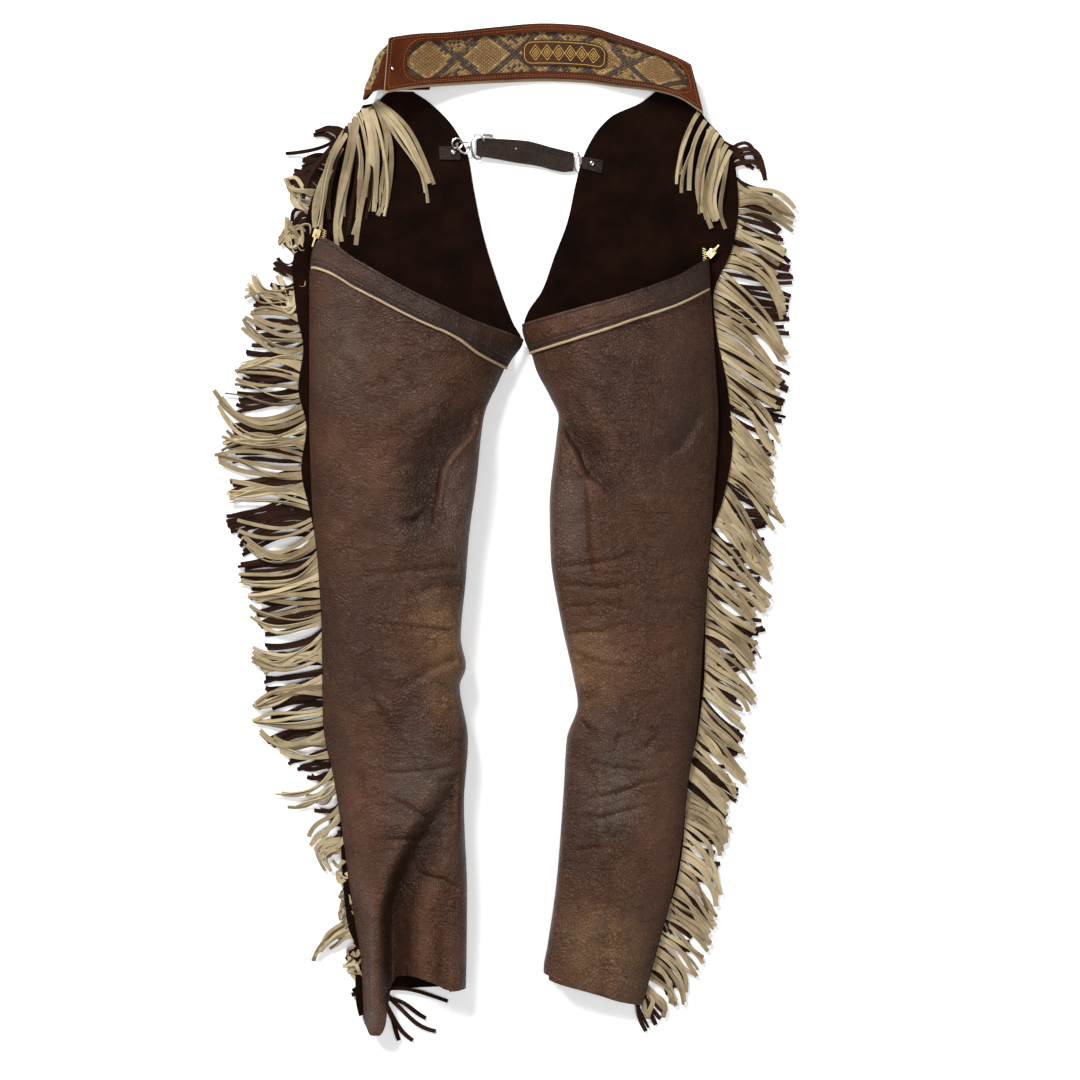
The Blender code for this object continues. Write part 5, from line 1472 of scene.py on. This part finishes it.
# %% Strap, tabs and metal
Turn = namedtuple("Turn", "x low high z")
STRAP = [
    Turn(65.5, 371, 385, 1.1), Turn(45, 376, 390, 1.1), Turn(17, 383, 397, 1.1),
    Turn(-12, 384.5, 399, 1.1), Turn(-27, 384, 399.5, 1.1), Turn(-29.6, 383.5, 399, 1.9),
    Turn(-30.8, 382, 398, 3.5), Turn(-29.6, 381, 397, 5.2), Turn(-26.5, 380.5, 396.5, 5.8),
    Turn(-10, 378, 393.5, 4.8), Turn(5, 375.3, 390.5, 3.7), Turn(30, 371.5, 386.3, 3.3),
    Turn(45, 367.5, 383, 3.3), Turn(57, 365.5, 380.5, 3.3), Turn(65.5, 366.5, 380, 3.3),
]
run = np.concatenate([[0], np.cumsum([math.dist((a.x, a.z), (b.x, b.z)) for a,
                                      b in zip(STRAP, STRAP[1:])])])
fine = np.unique(np.concatenate([np.linspace(0, run[-1], 90), np.linspace(run[3], run[9], 60)]))
fields = [smooth_at(list(zip(run, [getattr(s, f) for s in STRAP])), fine) for f in Turn._fields]
sx, low, high, sz = (f[:, None] for f in fields)
Y = mix(low, high, np.linspace(0, 1, 9)[None, :])
X, Z = sx + 0 * Y, sz + 0 * Y
strap = shell("front_strap_leather", X, Y, Z, LEATHER, strap_leather)
lay(strap, "front_strap")
edges = []
for share in (0.14, 0.86):
    y = mix(low, high, share)[:, 0]
    keep = np.arange(len(fine)) > np.argmin(fields[0]) + 6
    edges.append(np.stack([fields[0][keep], y[keep], fields[3][keep] + LEATHER / 2 + 0.05], axis=1))
lay(stitches("strap_stitches", edges, dark_thread, 3.0, 2.2, 0.6, 7))

TAB_Z = LEATHER + GAP + LEATHER / 2
TABS = {
    "left": [(-69, 391), (-47, 391.5), (-47.5, 377.5), (-68, 378)],
    "right": [(73.5, 381), (95, 377), (93.5, 364.5), (73.7, 368.8)],
}
for side, corners in TABS.items():
    a, b, c, d = (np.array(p, float) for p in corners)
    u, v = np.linspace(0, 1, 16)[None, :, None], np.linspace(0, 1, 10)[:, None, None]
    P = mix(mix(a, b, u), mix(d, c, u), v)
    Z = TAB_Z + 0 * P[..., 0]
    tab = shell(f"{side}_tab_leather", P[..., 0], P[..., 1], Z, LEATHER, strap_leather, flip=True)
    lay(tab, f"{side}_strap_tab")

BRASS_NODES = ["left_zip_slider", "right_zip_slider", "left_zip_pull", "right_zip_pull"]
STEEL_NODES = [
    "belt_rivet", "left_tab_rivet", "right_tab_eyelet", "strap_rivet", "tab_ring", "snap_hook",
    "snap_gate",
    "strap_loop", "buckle_roller", "right_loop",
]
for names, finish in ((BRASS_NODES, brass), (STEEL_NODES, steel)):
    for name in names:
        node = bpy.data.objects[name]
        node.data.materials.clear()
        node.data.materials.append(finish)
print("metal:", len(BRASS_NODES), "brass and", len(STEEL_NODES), "steel parts")

# %% [markdown]
# Light and camera. One broad lamp high up gives the soft overall light. A lower one from the
# upper left rakes across the leather and brings out its grain. The camera looks straight down.

# %% Light and camera
def lamp(name, place, aim, size, power):
    bpy.ops.object.light_add(type="AREA", location=place)
    made = bpy.context.active_object
    made.name = name
    made.data.shape = "SQUARE"
    made.data.size = size
    made.data.energy = power
    made.rotation_euler = (Vector(aim) - Vector(place)).to_track_quat("-Z", "Y").to_euler()


lamp("key", (-1.9, 2.9, 3.0), (0, 0, 0), 1.4, 312)
lamp("overhead", (1.0, -0.8, 4.4), (0, 0, 0), 2.6, 138)
world = bpy.data.worlds.new("studio")
bpy.context.scene.world = world
world.use_nodes = True
world.node_tree.nodes["Background"].inputs["Color"].default_value = (1, 1, 1, 1)
world.node_tree.nodes["Background"].inputs["Strength"].default_value = 0.26
bpy.context.scene.view_settings.view_transform = "Standard"

bpy.ops.object.camera_add(location=(0.032, -0.002, 2.4), rotation=(0, 0, 0))
camera = bpy.context.active_object
camera.name = "camera"
camera.data.lens = 36 * 2.4 / 1.08
bpy.context.scene.camera = camera
print("lamps:", [o.name for o in bpy.data.objects if o.type == "LIGHT"])

# %% [markdown]
# Last, the size of the finished piece is printed beside the size of the imported solids.

# %% Sizes and finish
sizes = {"cad": [list(v) for v in CAD_BOX], "visual": [list(v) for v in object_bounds()]}
for key, (low, high) in sizes.items():
    print(key, [round((b - a) * 1000, 1) for a, b in zip(low, high)], "mm")
deselect()
